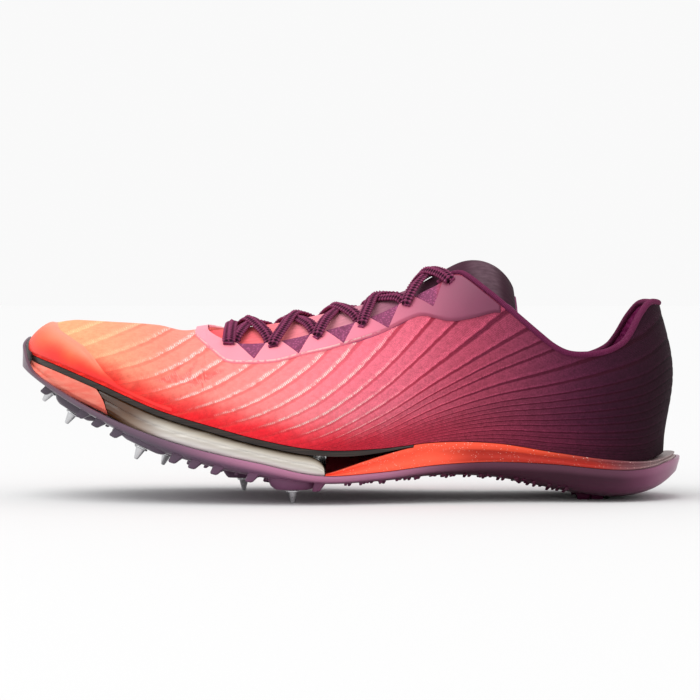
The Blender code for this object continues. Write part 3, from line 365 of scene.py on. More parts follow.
# %% [markdown]
# Seen from above, the last has a round heel, a waist and a broad round toe. Ribs stand along this outline and
# meet at a spine in the middle. Near both ends they fan out, so that the faces there stay even, and the spine
# stops short of the heel and the toe.

# %% Plan of the last
END_EASE = 0.12
RIB_FAN = 0.30
HEEL_POLE = 0.130
TOE_POLE = 0.073
HEEL_ROUND = 0.130
TOE_ROUND = 0.165
HEEL_POWER = 2.1
TOE_POWER = 2.2
TAIL_STRETCH = 0.25
TOE_STRETCH = 0.15
EASED = 2 * END_EASE * (1 - END_EASE)


def foot_station(u):
    """Station of the plan outline at rib u, 0 at the heel and 1 at the toe."""
    u = np.asarray(u, float)
    middle = (u - END_EASE / 2) / (1 - END_EASE)
    return np.where(u < END_EASE, u * u / EASED, np.where(u > 1 - END_EASE, 1 - (1 - u) ** 2 / EASED, middle))


def rib_at(station):
    """Rib whose foot lies at a station."""
    station = np.asarray(station, float)
    edge = END_EASE / (2 * (1 - END_EASE))
    heel, toe = np.sqrt(np.maximum(station, 0) * EASED), 1 - np.sqrt(np.maximum(1 - station, 0) * EASED)
    middle = station * (1 - END_EASE) + END_EASE / 2
    return np.where(station < edge, heel, np.where(station > 1 - edge, toe, middle))


def spine_station(u):
    return foot_station(u) + HEEL_POLE * (1 - step(u / RIB_FAN)) - TOE_POLE * (1 - step((1 - u) / RIB_FAN))


def end_round(station):
    heel, toe = np.clip(station / HEEL_ROUND, 0, 1), np.clip((1 - station) / TOE_ROUND, 0, 1)
    return ((1 - (1 - heel) ** HEEL_POWER) ** (1 / HEEL_POWER)
            * (1 - (1 - toe) ** TOE_POWER) ** (1 / TOE_POWER))


def x_at(station, reach=0.0):
    tail = TAIL_REACH * np.maximum(1 - station / TAIL_STRETCH, 0.0) ** 2
    toe = TOE_REACH * np.maximum(1 - (1 - station) / TOE_STRETCH, 0.0) ** 2
    return HEEL_X - LAST_LENGTH * station + reach * (tail - toe)


def station_of(x):
    return (HEEL_X - x) / LAST_LENGTH


def sided(lateral, medial, side, station):
    return np.where(np.asarray(side) < 0, reading(LAST, lateral, station), reading(LAST, medial, station))


def outline(station, side, reach=0.0):
    half = sided("lateral", "medial", side, station)
    y = BALL_WIDTH * (reading(LAST, "middle", station) + side * half * end_round(station))
    return stack(x_at(station, reach), y, 0.0)


def quarter_turn(vectors):
    return stack(vectors[..., 1], -vectors[..., 0], 0.0)


def foot(u, side, grow=0.0, reach=0.0):
    """Plan outline at rib u, moved outwards by grow."""
    u = np.asarray(u, float)
    small = 0.002
    inner = np.clip(u, small, 1 - small)
    ahead, behind = foot_station(inner + small), foot_station(inner - small)
    beside = quarter_turn(outline(ahead, side, reach) - outline(behind, side, reach)) * column(side)
    here = foot_station(inner)
    end = quarter_turn(outline(here, MEDIAL, reach) - outline(here, LATERAL, reach))
    end = end * column(np.where(u < 0.5, 1, -1))
    tip = (u < small) | (u > 1 - small)
    outward = unit(np.where(tip[..., None], end, beside))
    return outline(foot_station(u), side, reach) + outward * column(grow)


def spine(u, reach=0.0):
    station = spine_station(u)
    return stack(x_at(station, reach), BALL_WIDTH * reading(LAST, "middle", station), 0.0)


def footbed(station):
    return TOE_LIFT * reading(LAST, "footbed", station)


print("rib at the ball", float(rib_at(0.63)))

# %% [markdown]
# Each rib climbs from the footbed's edge to the ridge over the foot. Its curve is a superellipse: one power
# makes it boxy or slack, and a table gives that power for each side. A bulge part way up rounds the heel and the
# sides.

# %% Form of the last over the footbed
BULGE_TOP = 0.70
RIDGE = 0.999            # a climb from which a point counts as lying on the ridge
HALVINGS = 24
WALK_STEPS = 72


def form_point(u, side, climb):
    """Point on the closed last: climb is 0 at the footbed's edge and 1 on the ridge."""
    u, side, climb = np.broadcast_arrays(u, side, climb)
    here, top = foot_station(u), spine_station(u)
    start = outline(here, side)
    ridge = stack(x_at(top), BALL_WIDTH * reading(LAST, "ridge", top), 0.0)
    power = sided("round_l", "round_m", side, here)
    angle = np.clip(climb, 0, 1) * math.pi / 2
    height = np.sin(angle) ** (2 / power)
    reach = np.maximum(np.cos(angle), 0) ** (2 / power)
    belly = reading(LAST, "bulge", here) * np.sin(math.pi * np.minimum(height / BULGE_TOP, 1)) ** 2
    place = ridge + (start - ridge) * column(reach + belly)
    high = footbed(top) + ANKLE_RISE * reading(LAST, "rise", top)
    place[..., 2] = mix(footbed(here), high, height)
    return place


def form_normal(u, side, climb):
    """Outward direction of the form."""
    u, side, climb = np.broadcast_arrays(u, side, climb)
    small = 0.004
    climb = np.clip(climb, small, 1 - small)
    tip = (u < small) | (u > 1 - small)
    inner = np.clip(u, small, 1 - small)
    ends = form_point(inner, MEDIAL, climb) - form_point(inner, LATERAL, climb)
    ends = ends * column(np.where(u < 0.5, 1, -1))
    flank = (form_point(inner + small, side, climb) - form_point(inner - small, side, climb)) * column(side)
    across = np.where(tip[..., None], ends, flank)
    up = form_point(u, side, climb + small) - form_point(u, side, climb - small)
    return unit(np.cross(across, up))


def form(u, side, climb, out=0.0):
    """Point at a distance out from the form."""
    u, side, climb = np.broadcast_arrays(u, side, climb)
    normal = form_normal(u, side, climb)
    both = unit(normal + form_normal(u, -side, climb))
    normal = np.where((climb > RIDGE)[..., None], both, normal)
    return form_point(u, side, climb) + normal * column(out)


def climb_where(u, side, test):
    """Climb at which test(point) turns positive, going up each rib."""
    u, side = np.broadcast_arrays(np.asarray(u, float), side)
    low, high = np.zeros(u.shape), np.ones(u.shape)
    for _ in range(HALVINGS):
        middle = (low + high) / 2
        over = test(form_point(u, side, middle)) > 0
        high, low = np.where(over, middle, high), np.where(over, low, middle)
    return high


def climb_below(u, side, start, distance):
    """Climb of the point that lies a distance down the form from climb start."""
    u, side, start, distance = np.broadcast_arrays(np.asarray(u, float), side, start, distance)
    climbs = np.clip(start[..., None] - np.arange(WALK_STEPS + 1) / WALK_STEPS, 0, 1)
    points = form_point(u[..., None] + 0 * climbs, side[..., None] + 0 * climbs, climbs)
    pieces = np.linalg.norm(np.diff(points, axis=-2), axis=-1)
    walked = np.concatenate([np.zeros(u.shape + (1,)), np.cumsum(pieces, axis=-1)], axis=-1)
    last = np.clip((walked < distance[..., None]).sum(-1), 1, WALK_STEPS)[..., None]
    near = np.take_along_axis(walked, last - 1, -1)[..., 0]
    far = np.take_along_axis(walked, last, -1)[..., 0]
    first = np.take_along_axis(climbs, last - 1, -1)[..., 0]
    second = np.take_along_axis(climbs, last, -1)[..., 0]
    return mix(first, second, np.clip((distance - near) / np.maximum(far - near, 1e-9), 0, 1))


print("top of the vamp", float(form(rib_at(0.75), LATERAL, 1.0)[2]))

# %% [markdown]
# The upper is open at the throat, where the laces run, and at the collar, where the foot goes in. Both edges are
# measured as heights and half widths along the shoe, and the climb of each rib is found where it meets them, by
# halving the distance again and again.

# %% Throat and collar of the upper
Collar = namedtuple("Collar", "station rise")
COLLAR = [
    Collar(0.000, 0.655), Collar(0.026, 0.680), Collar(0.043, 0.640), Collar(0.061, 0.560),
    Collar(0.074, 0.515), Collar(0.099, 0.472), Collar(0.129, 0.448), Collar(0.158, 0.440),
    Collar(0.180, 0.458), Collar(0.203, 0.498), Collar(0.249, 0.587), Collar(0.288, 0.667),
    Collar(0.317, 0.726), Collar(0.329, 0.731), Collar(0.349, 0.719), Collar(0.380, 0.700),
]
Throat = namedtuple("Throat", "station half")
THROAT = [
    Throat(0.34, 0.128), Throat(0.40, 0.130), Throat(0.47, 0.150),
    Throat(0.54, 0.172), Throat(0.63, 0.190), Throat(0.72, 0.180),
]
THROAT_END = 0.7200
COLLAR_START = 0.3450
CORNER_SPREAD = 0.030
THROAT_ROUND = 0.060
BINDING_RADIUS = 0.0012
BINDING_RISE = 2 * BINDING_RADIUS + GAP
MEDIAL_DIP = 0.0022
DIP_ENDS = (0.02, 0.08, 0.26, 0.33)


def collar_climb(u, side):
    u, side = np.broadcast_arrays(u, side)

    def above(point):
        station = station_of(point[..., 0])
        start, full, fade, end = DIP_ENDS
        dip = MEDIAL_DIP * step((station - start) / (full - start)) * step((end - station) / (end - fade))
        rise = ANKLE_RISE * reading(COLLAR, "rise", station) - np.where(side > 0, dip, 0)
        return point[..., 2] - footbed(station) - rise + BINDING_RISE
    return climb_where(u, side, above)


def throat_climb(u, side, inset=0.0):
    station = foot_station(u)
    ahead = np.clip((THROAT_END - station) / THROAT_ROUND, 0, 1)
    half = BALL_WIDTH * reading(THROAT, "half", station) * np.sqrt(1 - (1 - ahead) ** 2) + inset
    middle = BALL_WIDTH * reading(LAST, "middle", station)
    return climb_where(u, side, lambda point: half - np.abs(point[..., 1] - middle))


def edge_climb(u, side):
    """Climb of the upper's top edge, or 1 where the vamp closes over the foot."""
    station = foot_station(u)
    share = step((station - COLLAR_START) / CORNER_SPREAD + 0.5)
    edge = mix(collar_climb(u, side), throat_climb(u, side), share)
    return np.where(station >= THROAT_END, 1.0, edge)


print("collar at the heel", float(edge_climb(0.0, LATERAL)), "of the climb")

# %% [markdown]
# Blender makes an object from a list of corners and a list of faces. Most pieces here are grids: columns that run
# round the foot and rows that climb it. Numbers such as the place along the shoe are stored at each corner, so
# that a material can change colour with them.

# %% Mesh helpers
WELD = 2e-6
SHARP = math.radians(50)
settled = np.zeros(3)    # the solid model was moved so that its box is centred, and this holds that move


def grid_faces(columns, rows, closed=False, start=0):
    c, r = np.meshgrid(np.arange(columns if closed else columns - 1), np.arange(rows - 1), indexing="ij")
    a, b = start + c * rows + r, start + (c + 1) % columns * rows + r
    return np.stack([a, a + 1, b + 1, b], -1).reshape(-1, 4)


def tube_faces(rings, size):
    """Faces between closed rings of corners that are stored one after another."""
    r, k = np.meshgrid(np.arange(rings - 1), np.arange(size), indexing="ij")
    nxt = (k + 1) % size
    return np.stack([r * size + k, r * size + nxt, (r + 1) * size + nxt, (r + 1) * size + k], -1).reshape(-1, 4)


def store(mesh, marks):
    """Keep numbers at the corners of a mesh, for its material to read."""
    for mark, values in marks.items():
        mesh.attributes.new(mark, "FLOAT", "POINT").data.foreach_set("value", np.ravel(values).astype(np.float32))


def piece(name, corners, faces, materials, marks=None, slots=None):
    """Object from corners and faces, with its materials, its stored numbers and its normals pointing out."""
    mesh = bpy.data.meshes.new(name)
    mesh.from_pydata((np.asarray(corners) + settled).tolist(), [], np.asarray(faces).tolist())
    store(mesh, marks or {})
    if slots is not None:
        mesh.polygons.foreach_set("material_index", np.asarray(slots, np.int32))
    work = bmesh.new()
    work.from_mesh(mesh)
    bmesh.ops.remove_doubles(work, verts=work.verts, dist=WELD)
    bmesh.ops.recalc_face_normals(work, faces=work.faces)
    if work.calc_volume(signed=True) < 0:
        bmesh.ops.reverse_faces(work, faces=work.faces)
    work.to_mesh(mesh)
    work.free()
    mesh.shade_smooth()
    mesh.set_sharp_from_angle(angle=SHARP)
    for material in materials:
        mesh.materials.append(material)
    made = bpy.data.objects.new(name, mesh)
    bpy.context.scene.collection.objects.link(made)
    print(name, len(mesh.polygons), "faces")
    return made


def borders(columns, rows, closed):
    """Loops of corners along the free edges of a grid."""
    low, high = np.arange(columns) * rows, np.arange(columns) * rows + rows - 1
    if closed:
        return [np.append(low, low[0]), np.append(high, high[0])]
    first, last = np.arange(rows), (columns - 1) * rows + np.arange(rows)
    return [np.concatenate([low, last[1:], high[::-1][1:], first[::-1][1:]])]


def skin_faces(columns, rows, closed=False, shut=None):
    """Faces of a thin skin: its outside, its inside, and a wall along each free edge that isn't shut."""
    count = columns * rows
    outside = grid_faces(columns, rows, closed)
    faces = [outside, outside[:, ::-1] + count]
    for loop in borders(columns, rows, closed):
        a, b = loop[:-1], loop[1:]
        walls = np.stack([a, b, b + count, a + count], -1)
        faces.append(walls if shut is None else walls[~(shut[a] & shut[b])])
    return np.concatenate(faces), len(outside)


def sheet(name, u, side, climb, inner, outer, materials, marks=None, closed=False):
    """Skin between two distances from the form. The arrays are columns by rows."""
    outside, inside = form(u, side, climb, outer), form(u, side, climb, inner)
    faces, half = skin_faces(*u.shape, closed, np.ravel(climb) > RIDGE)
    slots = np.zeros(len(faces))
    slots[half:2 * half] = len(materials) - 1
    marks = {mark: np.tile(np.ravel(values), 2) for mark, values in (marks or {}).items()}
    corners = np.concatenate([outside.reshape(-1, 3), inside.reshape(-1, 3)])
    return piece(name, corners, faces, materials, marks, slots)


def spread(u, side, climb):
    """Ribs and sides for every row of a climb table, and the distance walked up each rib to a row."""
    u, side = np.broadcast_to(u[:, None], climb.shape), np.broadcast_to(side[:, None], climb.shape)
    steps = np.linalg.norm(np.diff(form_point(u, side, climb), axis=1), axis=-1)
    return u, side, np.concatenate([np.zeros((len(u), 1)), np.cumsum(steps, axis=1)], axis=1)


def loft(ribs, profile):
    """Corners and faces of a closed piece: one profile a side at each rib, from the spine's top to its bottom."""
    lateral, medial = profile(ribs, LATERAL + 0 * ribs), profile(ribs, MEDIAL + 0 * ribs)
    points = lateral.shape[1]
    ring = np.concatenate([lateral, medial[:, -2:0:-1]], axis=1)
    size = ring.shape[1]
    i = np.arange(points - 1)
    cap = np.stack([i, i + 1, (size - i - 1) % size, (size - i) % size], -1)
    return ring, np.concatenate([tube_faces(len(ribs), size), cap, cap + (len(ribs) - 1) * size])


def place(piece, slot, *nodes):
    """The piece rides on the shoe and stands for solid nodes, which are hidden; slot is not used."""
    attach(piece, "root")
    if nodes:
        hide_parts(*nodes)


# %% [markdown]
# The bottom of the shoe is a shallow bowl. Its rim follows the plan, and its section is boxy at the heel and
# rounder in front of it. The solid model was moved so that its box is centred. One pin of it shows by how much,
# so that everything made here stands in the same place.

# %% Bowl of the spike plate, and where the solid model stands
FLARE = 10
LOW_REACH = 0.2
RIM_GROW = 0.0006
SETTLE_PIN = ("pin_5", 0.668, MEDIAL, 0.66)


def rim_height(u):
    return TOE_LIFT * reading(SOLE, "rim", foot_station(u))


def bowl(u, side, across, inset, grow=RIM_GROW):
    """Point on the spike plate's bowl, or on one nested in it by inset."""
    reach = mix(LOW_REACH, 1.0, across ** FLARE)
    edge = foot(u, side, grow - inset, reach=reach)
    centre = spine(u, reach=LOW_REACH)
    point = centre + (edge - centre) * across
    rim = rim_height(u)
    belly = TOE_LIFT * reading(SOLE, "belly", mix(spine_station(u), foot_station(u), across)) + inset
    square = reading(SOLE, "square", foot_station(u))
    point[..., 2] = rim - np.maximum(rim - belly, 0) * (1 - across ** square) ** (1 / square)
    return point


def sole_point(station, side, across):
    """Point on the outside of the spike plate, and its outward direction."""
    u = rib_at(station)
    small = 0.01
    here = bowl(u, side, across, 0.0)
    along = bowl(u + small, side, across, 0.0) - bowl(u - small, side, across, 0.0)
    beside = bowl(u, side, across + small, 0.0) - bowl(u, side, across - small, 0.0)
    normal = unit(np.cross(along, beside))
    return here, normal if normal[2] < 0 else -normal


pin_low, pin_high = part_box(SETTLE_PIN[0])
pin_foot, _ = sole_point(*SETTLE_PIN[1:])
settled[:2] = [(pin_low.x + pin_high.x) / 2 - pin_foot[0], (pin_low.y + pin_high.y) / 2 - pin_foot[1]]
print("the solid model was moved by", settled.round(5))

# %% [markdown]
# The cloth of the upper is one woven tube. Its ribs fan out from the sole and lean towards the heel: nearly flat
# low at the heel and steep over the forefoot. A line of the fan is a level curve of one number, so that number
# is worked out for each corner and stored. The material draws furrows where its fraction is small, with painted
# shade in them.

# %% The fan of ribs
# Slope of a line where it leaves the sole, and the height over which that slope doubles.
Fan = namedtuple("Fan", "station slope double")
FAN = [
    Fan(0.00, 0.03, 0.300), Fan(0.20, 0.045, 0.300), Fan(0.35, 0.07, 0.300), Fan(0.42, 0.11, 0.200),
    Fan(0.46, 0.17, 0.150), Fan(0.50, 0.25, 0.100), Fan(0.53, 0.34, 0.060), Fan(0.60, 0.40, 0.035),
    Fan(0.70, 0.46, 0.030), Fan(0.85, 0.50, 0.030), Fan(1.40, 0.50, 0.030),
]
Pitch = namedtuple("Pitch", "station width")
FAN_PITCH = [
    Pitch(0.00, 0.060), Pitch(0.35, 0.050), Pitch(0.42, 0.025), Pitch(0.46, 0.011), Pitch(0.50, 0.009),
    Pitch(0.53, 0.012), Pitch(0.57, 0.022), Pitch(0.65, 0.030), Pitch(0.80, 0.036), Pitch(1.40, 0.036),
]
FURROW_WIDE = 0.30       # share of a rib's pitch that the furrow takes
FURROW_STEEP = 1.6
FAN_HALVINGS = 22
FURROW_DEEP = 0.00028
LABELS = (-0.2, 1.6)     # stations before the heel and past the toe between which a line may leave the sole


def straight(table, name, station):
    """Straight lines through one column of a table."""
    return np.interp(station, [row.station for row in table], [getattr(row, name) for row in table])


def fan_label(station, height):
    """Station at which the line of the fan through a place leaves the sole."""
    low, high = (np.full(np.shape(station), end) for end in LABELS)
    height = np.maximum(height, 0)
    for _ in range(FAN_HALVINGS):
        middle = (low + high) / 2
        double = straight(FAN, "double", middle)
        lean = double / (LAST_LENGTH * straight(FAN, "slope", middle)) * np.log(1 + height / double)
        over = middle - lean > station
        high, low = np.where(over, middle, high), np.where(over, low, middle)
    return high


def fan_phase(label):
    """Count of ribs up to a line of the fan."""
    grid = np.linspace(-0.2, 1.7, 2000)
    total = np.cumsum((grid[1] - grid[0]) / straight(FAN_PITCH, "width", grid))
    return np.interp(label, grid, total)


def furrow(phase):
    """1 in the middle of a furrow and 0 on the ribs beside it."""
    part = np.abs((phase % 1.0) - 0.5) * 2
    return step((part - 1 + FURROW_WIDE) / FURROW_WIDE * FURROW_STEEP)


print("ribs from heel to toe", float(fan_phase(1.0) - fan_phase(0.0)))

# %% [markdown]
# The cloth has short creases beside the throat, where the toes bend, and a shallow one at the inner ankle. Each
# is a small hollow, longer than it is wide. A table places them, because a random scatter wouldn't follow the
# bend of a foot.

# %% Creases
Crease = namedtuple("Crease", "side station rise turn long wide deep")
CREASE_FULL = 0.0006
CREASES = [
    Crease(LATERAL, 0.770, 0.015, 0.5, 0.008, 0.0010, 0.00060),
    Crease(LATERAL, 0.758, 0.020, 1.0, 0.007, 0.0009, 0.00055),
    Crease(LATERAL, 0.746, 0.016, 0.4, 0.009, 0.0011, 0.00065),
    Crease(LATERAL, 0.736, 0.022, 1.1, 0.008, 0.0009, 0.00050),
    Crease(LATERAL, 0.724, 0.017, 0.7, 0.009, 0.0010, 0.00060),
    Crease(LATERAL, 0.710, 0.021, 0.5, 0.008, 0.0011, 0.00050),
    Crease(LATERAL, 0.697, 0.016, 0.6, 0.009, 0.0010, 0.00040),
    Crease(MEDIAL, 0.770, 0.022, 0.7, 0.010, 0.0011, 0.00060),
    Crease(MEDIAL, 0.752, 0.017, 1.0, 0.008, 0.0010, 0.00055),
    Crease(MEDIAL, 0.735, 0.023, 0.6, 0.010, 0.0011, 0.00060),
    Crease(MEDIAL, 0.715, 0.018, 0.9, 0.009, 0.0010, 0.00050),
    Crease(MEDIAL, 0.300, 0.030, 0.4, 0.018, 0.0030, 0.00030),
]


def crease_depth(station, height, side):
    """How far the cloth is drawn in at a place by the creases near it."""
    total = np.zeros(np.shape(station))
    for row in CREASES:
        east = (row.station - station) * LAST_LENGTH
        north = height - row.rise
        along = east * math.cos(row.turn) + north * math.sin(row.turn)
        beside = -east * math.sin(row.turn) + north * math.cos(row.turn)
        pull = row.deep * np.exp(-(along / row.long) ** 2 - (beside / row.wide) ** 2)
        total += np.where(side * row.side > 0, pull, 0)
    return total


print("creases", len(CREASES))

# %% [markdown]
# The cloth is berry at the heel, pink at the middle and salmon at the toe, redder close to the sole. Colour
# ramps read the station stored at each corner. Low colours and high colours have a ramp each, blended by height.
# Noise and fine waves then roughen what would look like print.

# %% Colours of the cloth
UP_COLOURS = [
    (0.00, (36, 12, 24)), (0.10, (56, 18, 40)), (0.17, (94, 36, 64)), (0.25, (146, 60, 86)),
    (0.33, (192, 76, 102)), (0.41, (234, 108, 132)), (0.50, (250, 122, 140)), (0.62, (252, 138, 138)),
    (0.78, (252, 144, 126)), (0.90, (252, 166, 120)),
]
LOW_COLOURS = [
    (0.00, (38, 12, 26)), (0.10, (66, 22, 44)), (0.17, (108, 38, 66)), (0.25, (152, 54, 82)),
    (0.33, (204, 72, 98)), (0.41, (226, 64, 90)), (0.50, (240, 46, 66)), (0.62, (250, 44, 56)),
    (0.75, (248, 38, 46)), (0.90, (248, 56, 46)),
]
# Painted shade in the furrows, darkest at the heel and lightest at the toe.
FURROW_SHADE_COLOURS = [(0.0, (24, 4, 16)), (0.3, (92, 18, 46)), (0.5, (198, 34, 60)), (0.8, (246, 90, 76))]
MESH_PURPLE = (166, 84, 124)
THREAD_WHITE = (255, 234, 226)
CLOTH_TONE = 0.99        # how light the cloth is beside the ramps' colours
HOLE_SHADE = 0.6          # and the mesh in its holes


def weave_cloth(start):
    """Woven cloth: a long change of colour, stitched furrows, purple mesh at the throat, and painted shade in the
    furrows, the creases and the mesh's holes.
    """
    station, height = start.mark("station"), start.mark("rise")
    lift = height + (start.noise(120.0) - 0.5) * 0.007
    body = lift.between(0.002, 0.016).blend(station.ramp(LOW_COLOURS), station.ramp(UP_COLOURS))
    wander = (start.noise(260.0, 2.0) - 0.5) * 0.10
    off = (start.mark("phase") + 0.5 + wander).fraction() - 0.5
    teeth = (start.mark("along") * 1300.0).wave()
    fore = station.between(0.36, 0.54) * station.between(0.84, 0.74)
    # The trough of each furrow is painted darker: painted shade.
    trough = off.between(-0.20, -0.10) * off.between(0.08, 0.02)
    shade = trough * (0.8 - 0.42 * fore) * station.between(0.92, 0.70)
    dark = shade.blend(body, station.ramp(FURROW_SHADE_COLOURS))
    stitch = off.between(0.01, 0.04) * (off + 0.05 * teeth).between(0.27, 0.19)
    dots = teeth.between(-0.5, 0.3) * start.noise(500.0, 2.0).between(0.35, 0.55)
    crease = start.mark("crease")
    pulled = crease.between(0.25, 0.9)
    white = stitch * (0.3 + 0.7 * dots) * fore * height.between(0.001, 0.012) + pulled * dots * 0.35
    # The cloth is painted redder and darker in the creases' hollows: painted shade.
    crease_shaded = (pulled * 0.45).blend(dark, linear(238, 62, 66))
    lit = (white * 0.8).between(0.0, 1.0).blend(crease_shaded, linear(*THREAD_WHITE))
    grain = start.cells(1500.0)
    threads = start.mark("fine").wave()
    mottle = start.noise(500.0, 3.0).between(0.3, 0.7)
    pricks = 1.0 - (0.4 - 0.25 * station.between(0.3, 0.6)) * grain
    tone = pricks * (1.0 + 0.05 * threads) * (0.92 + 0.16 * mottle)
    lines = 1.0 + 0.6 * stitch * (1.0 - fore) * (0.5 + 0.5 * dots)
    cloth = lit.scaled(tone * lines * CLOTH_TONE)
    mesh = start.mark("edge").between(0.0130, 0.0122) * start.mark("throat")
    holes = start.cells(900.0).between(0.25, 0.5)
    # The mesh is painted darker in its holes: painted shade.
    purple = holes.blend(linear(*MESH_PURPLE), dimmed(linear(*MESH_PURPLE), HOLE_SHADE))
    height_map = threads * 0.2 + grain * 0.6 + stitch * dots * 0.8
    return {"Base Color": mesh.blend(cloth, purple), "Roughness": 0.82, "Specular IOR Level": 0.12,
            "Normal": height_map.relief(0.00022)}


def lining_cloth(start):
    """Knitted lining inside the upper, berry red along the collar."""
    rows = start.noise(700.0, 2.0)
    deep = rows.between(0.3, 0.7).blend(linear(56, 14, 34), linear(92, 30, 58))
    collar = start.mark("edge").between(0.017, 0.009)
    colour = collar.blend(deep, rows.between(0.2, 0.8).blend(linear(128, 30, 86), linear(172, 62, 126)))
    return {"Base Color": colour, "Roughness": 0.92, "Specular IOR Level": 0.1, "Normal": rows.relief(0.0003)}


print("colours of the cloth", len(UP_COLOURS) + len(LOW_COLOURS))

# %% [markdown]
# The upper is one hollow skin with a real wall, so its collar shows a thickness. It is a grid that goes up the
# outer side, round the toe and back down the inner side. Furrows and creases move the outer face inwards, and
# both fade out at the edges, where tape and film hold the cloth flat.

# %% Upper
UPPER_SIDE_RIBS = 250
UPPER_ROWS = 60
CALM_EDGE = 0.004        # height over which the relief grows from the sole and from the top edge
TOE_CALM = (0.78, 0.08, 0.35)    # station, length and share to which furrows fade under the toe film
HEEL_CALM = (0.10, 0.4)          # length and share at the heel
STRAND = (0.86, 0.50)    # direction in which stitches are counted, along the shoe and up
FINE_THREADS = 14.0      # threads in a rib


def round_the_foot(ribs):
    """Ribs up the lateral side, round the toe and back down the medial side."""
    u = np.concatenate([ribs, ribs[-2:0:-1]])
    side = np.concatenate([np.full(len(ribs), LATERAL), np.full(len(ribs) - 2, MEDIAL)])
    return u, side


def cloth_marks(u, side, climb, edge=0.0):
    """Numbers that the cloth's material reads."""
    points = form_point(u, side, climb)
    station = station_of(points[..., 0])
    height = points[..., 2] - footbed(station)
    phase = fan_phase(fan_label(station, height))
    along = points[..., 0] * STRAND[0] + points[..., 2] * STRAND[1]
    here = foot_station(u)
    throat = step((here - COLLAR_START) / 0.02) * step((THROAT_END - 0.02 - here) / 0.01)
    return {"station": station, "rise": height, "phase": phase, "along": along, "fine": phase * FINE_THREADS,
            "edge": edge + 0 * station, "throat": throat}


def make_upper():
    """The woven upper, with its furrows and creases drawn into the surface."""
    stations = np.linspace(0, 1, UPPER_SIDE_RIBS)
    u, side = round_the_foot(stations)
    top = edge_climb(u, side)
    climb = top[:, None] * np.linspace(0, 1, UPPER_ROWS)
    u, side, walked = spread(u, side, climb)
    marks = cloth_marks(u, side, climb, walked[:, -1:] - walked)
    calm = step(marks["edge"] / CALM_EDGE) * step(marks["rise"] / CALM_EDGE)
    start, length, share = TOE_CALM
    fade = mix(1.0, share, step((marks["station"] - start) / length))
    length, share = HEEL_CALM
    fade = fade * mix(share, 1.0, step(marks["station"] / length))
    relief = -FURROW_DEEP * furrow(marks["phase"]) * calm * fade
    pulled = crease_depth(marks["station"], marks["rise"], side) * calm
    marks["crease"] = pulled / CREASE_FULL
    relief -= pulled
    return sheet("upper_cloth", u, side, climb, -UPPER_WALL, relief,
                 [finish("woven_cloth", weave_cloth), finish("knit_lining", lining_cloth)], marks, closed=True)


upper = make_upper()

# %% [markdown]
# Eyelets are round holes. A Boolean modifier cuts one shape out of another, so short rods are set through the
# cloth's wall where the solid model has its holes, and cut out. It needs closed pieces, and the cloth is one.

# %% Eyelets
EYELET_COUNT = 6
EYELET_RADIUS = 0.0020
EYELET_INSET = 0.0060
FIRST_EYELET = 0.6830
LAST_EYELET = 0.3360
EYELET_SIDES = 24
DRILL_HALF = 0.004


def eyelet_place(k, side):
    """Rib and climb of an eyelet."""
    u = rib_at(mix(FIRST_EYELET, LAST_EYELET, k / (EYELET_COUNT - 1)))
    return u, climb_below(u, side, edge_climb(u, side), EYELET_INSET)


def end_faces(rings, size):
    """The first and the last ring as a face each."""
    return [list(range(size)), list(range((rings - 1) * size, rings * size))]


def turned(start, end, rings, sides, square=2.0, stretch=1.0):
    """Corners and faces of a piece built of rings of (share of the way, radius, lean along the shoe)."""
    axis = unit(end - start)
    along = np.array([1.0, 0, 0])
    along = unit(along - axis * np.dot(along, axis))
    other = np.cross(axis, along)
    angle = 2 * math.pi * np.arange(sides) / sides
    c, s = np.cos(angle), np.sin(angle)
    size = (np.abs(c) ** square + np.abs(s) ** square) ** (-1 / square)
    loop = column(c * size * stretch) * along + column(s * size) * other
    corners = [mix(start, end, share) + along * lean + loop * radius for share, radius, lean in rings]
    return np.concatenate(corners), end_faces(len(rings), sides) + tube_faces(len(rings), sides).tolist()


def gather(parts):
    """One list of corners and one of faces from several parts."""
    corners, faces, start = [], [], 0
    for some, around in parts:
        corners.append(some)
        faces += [[v + start for v in face] for face in around]
        start += len(some)
    return np.concatenate(corners), faces


def mesh_from(name, corners, faces):
    """Closed mesh object from faces with any number of corners."""
    mesh = bpy.data.meshes.new(name)
    mesh.from_pydata((corners + settled).tolist(), [], faces)
    work = bmesh.new()
    work.from_mesh(mesh)
    bmesh.ops.recalc_face_normals(work, faces=work.faces)
    work.to_mesh(mesh)
    work.free()
    made = bpy.data.objects.new(name, mesh)
    bpy.context.scene.collection.objects.link(made)
    return made


def drill(target):
    """Cut the twelve eyelets out of a piece."""
    before = len(target.data.polygons)
    rods = []
    for k in range(EYELET_COUNT):
        for side in (LATERAL, MEDIAL):
            u, climb = eyelet_place(k, side)
            ends = form(u, side, climb, -DRILL_HALF), form(u, side, climb, DRILL_HALF)
            rods.append(turned(*ends, [(0, EYELET_RADIUS, 0), (1, EYELET_RADIUS, 0)], EYELET_SIDES))
    tool = mesh_from("drills", *gather(rods))
    modifier = target.modifiers.new("eyelets", "BOOLEAN")
    modifier.solver = "MANIFOLD"
    modifier.operation = "DIFFERENCE"
    modifier.object = tool
    bpy.context.view_layer.update()
    cut = bpy.data.meshes.new_from_object(target.evaluated_get(bpy.context.evaluated_depsgraph_get()))
    target.modifiers.clear()
    target.data = cut
    bpy.data.objects.remove(tool)
    print(target.name, "had", before, "faces and has", len(cut.polygons), "with its eyelets")


drill(upper)
place(upper, "upper_weave", "upper")

# %% [markdown]
# Two thin films are fused to the cloth: a cap round the toe and a band round the throat that carries the eyelets
# and has a notch between each two. Both thin out to nothing at their edges, as a hot press leaves them.

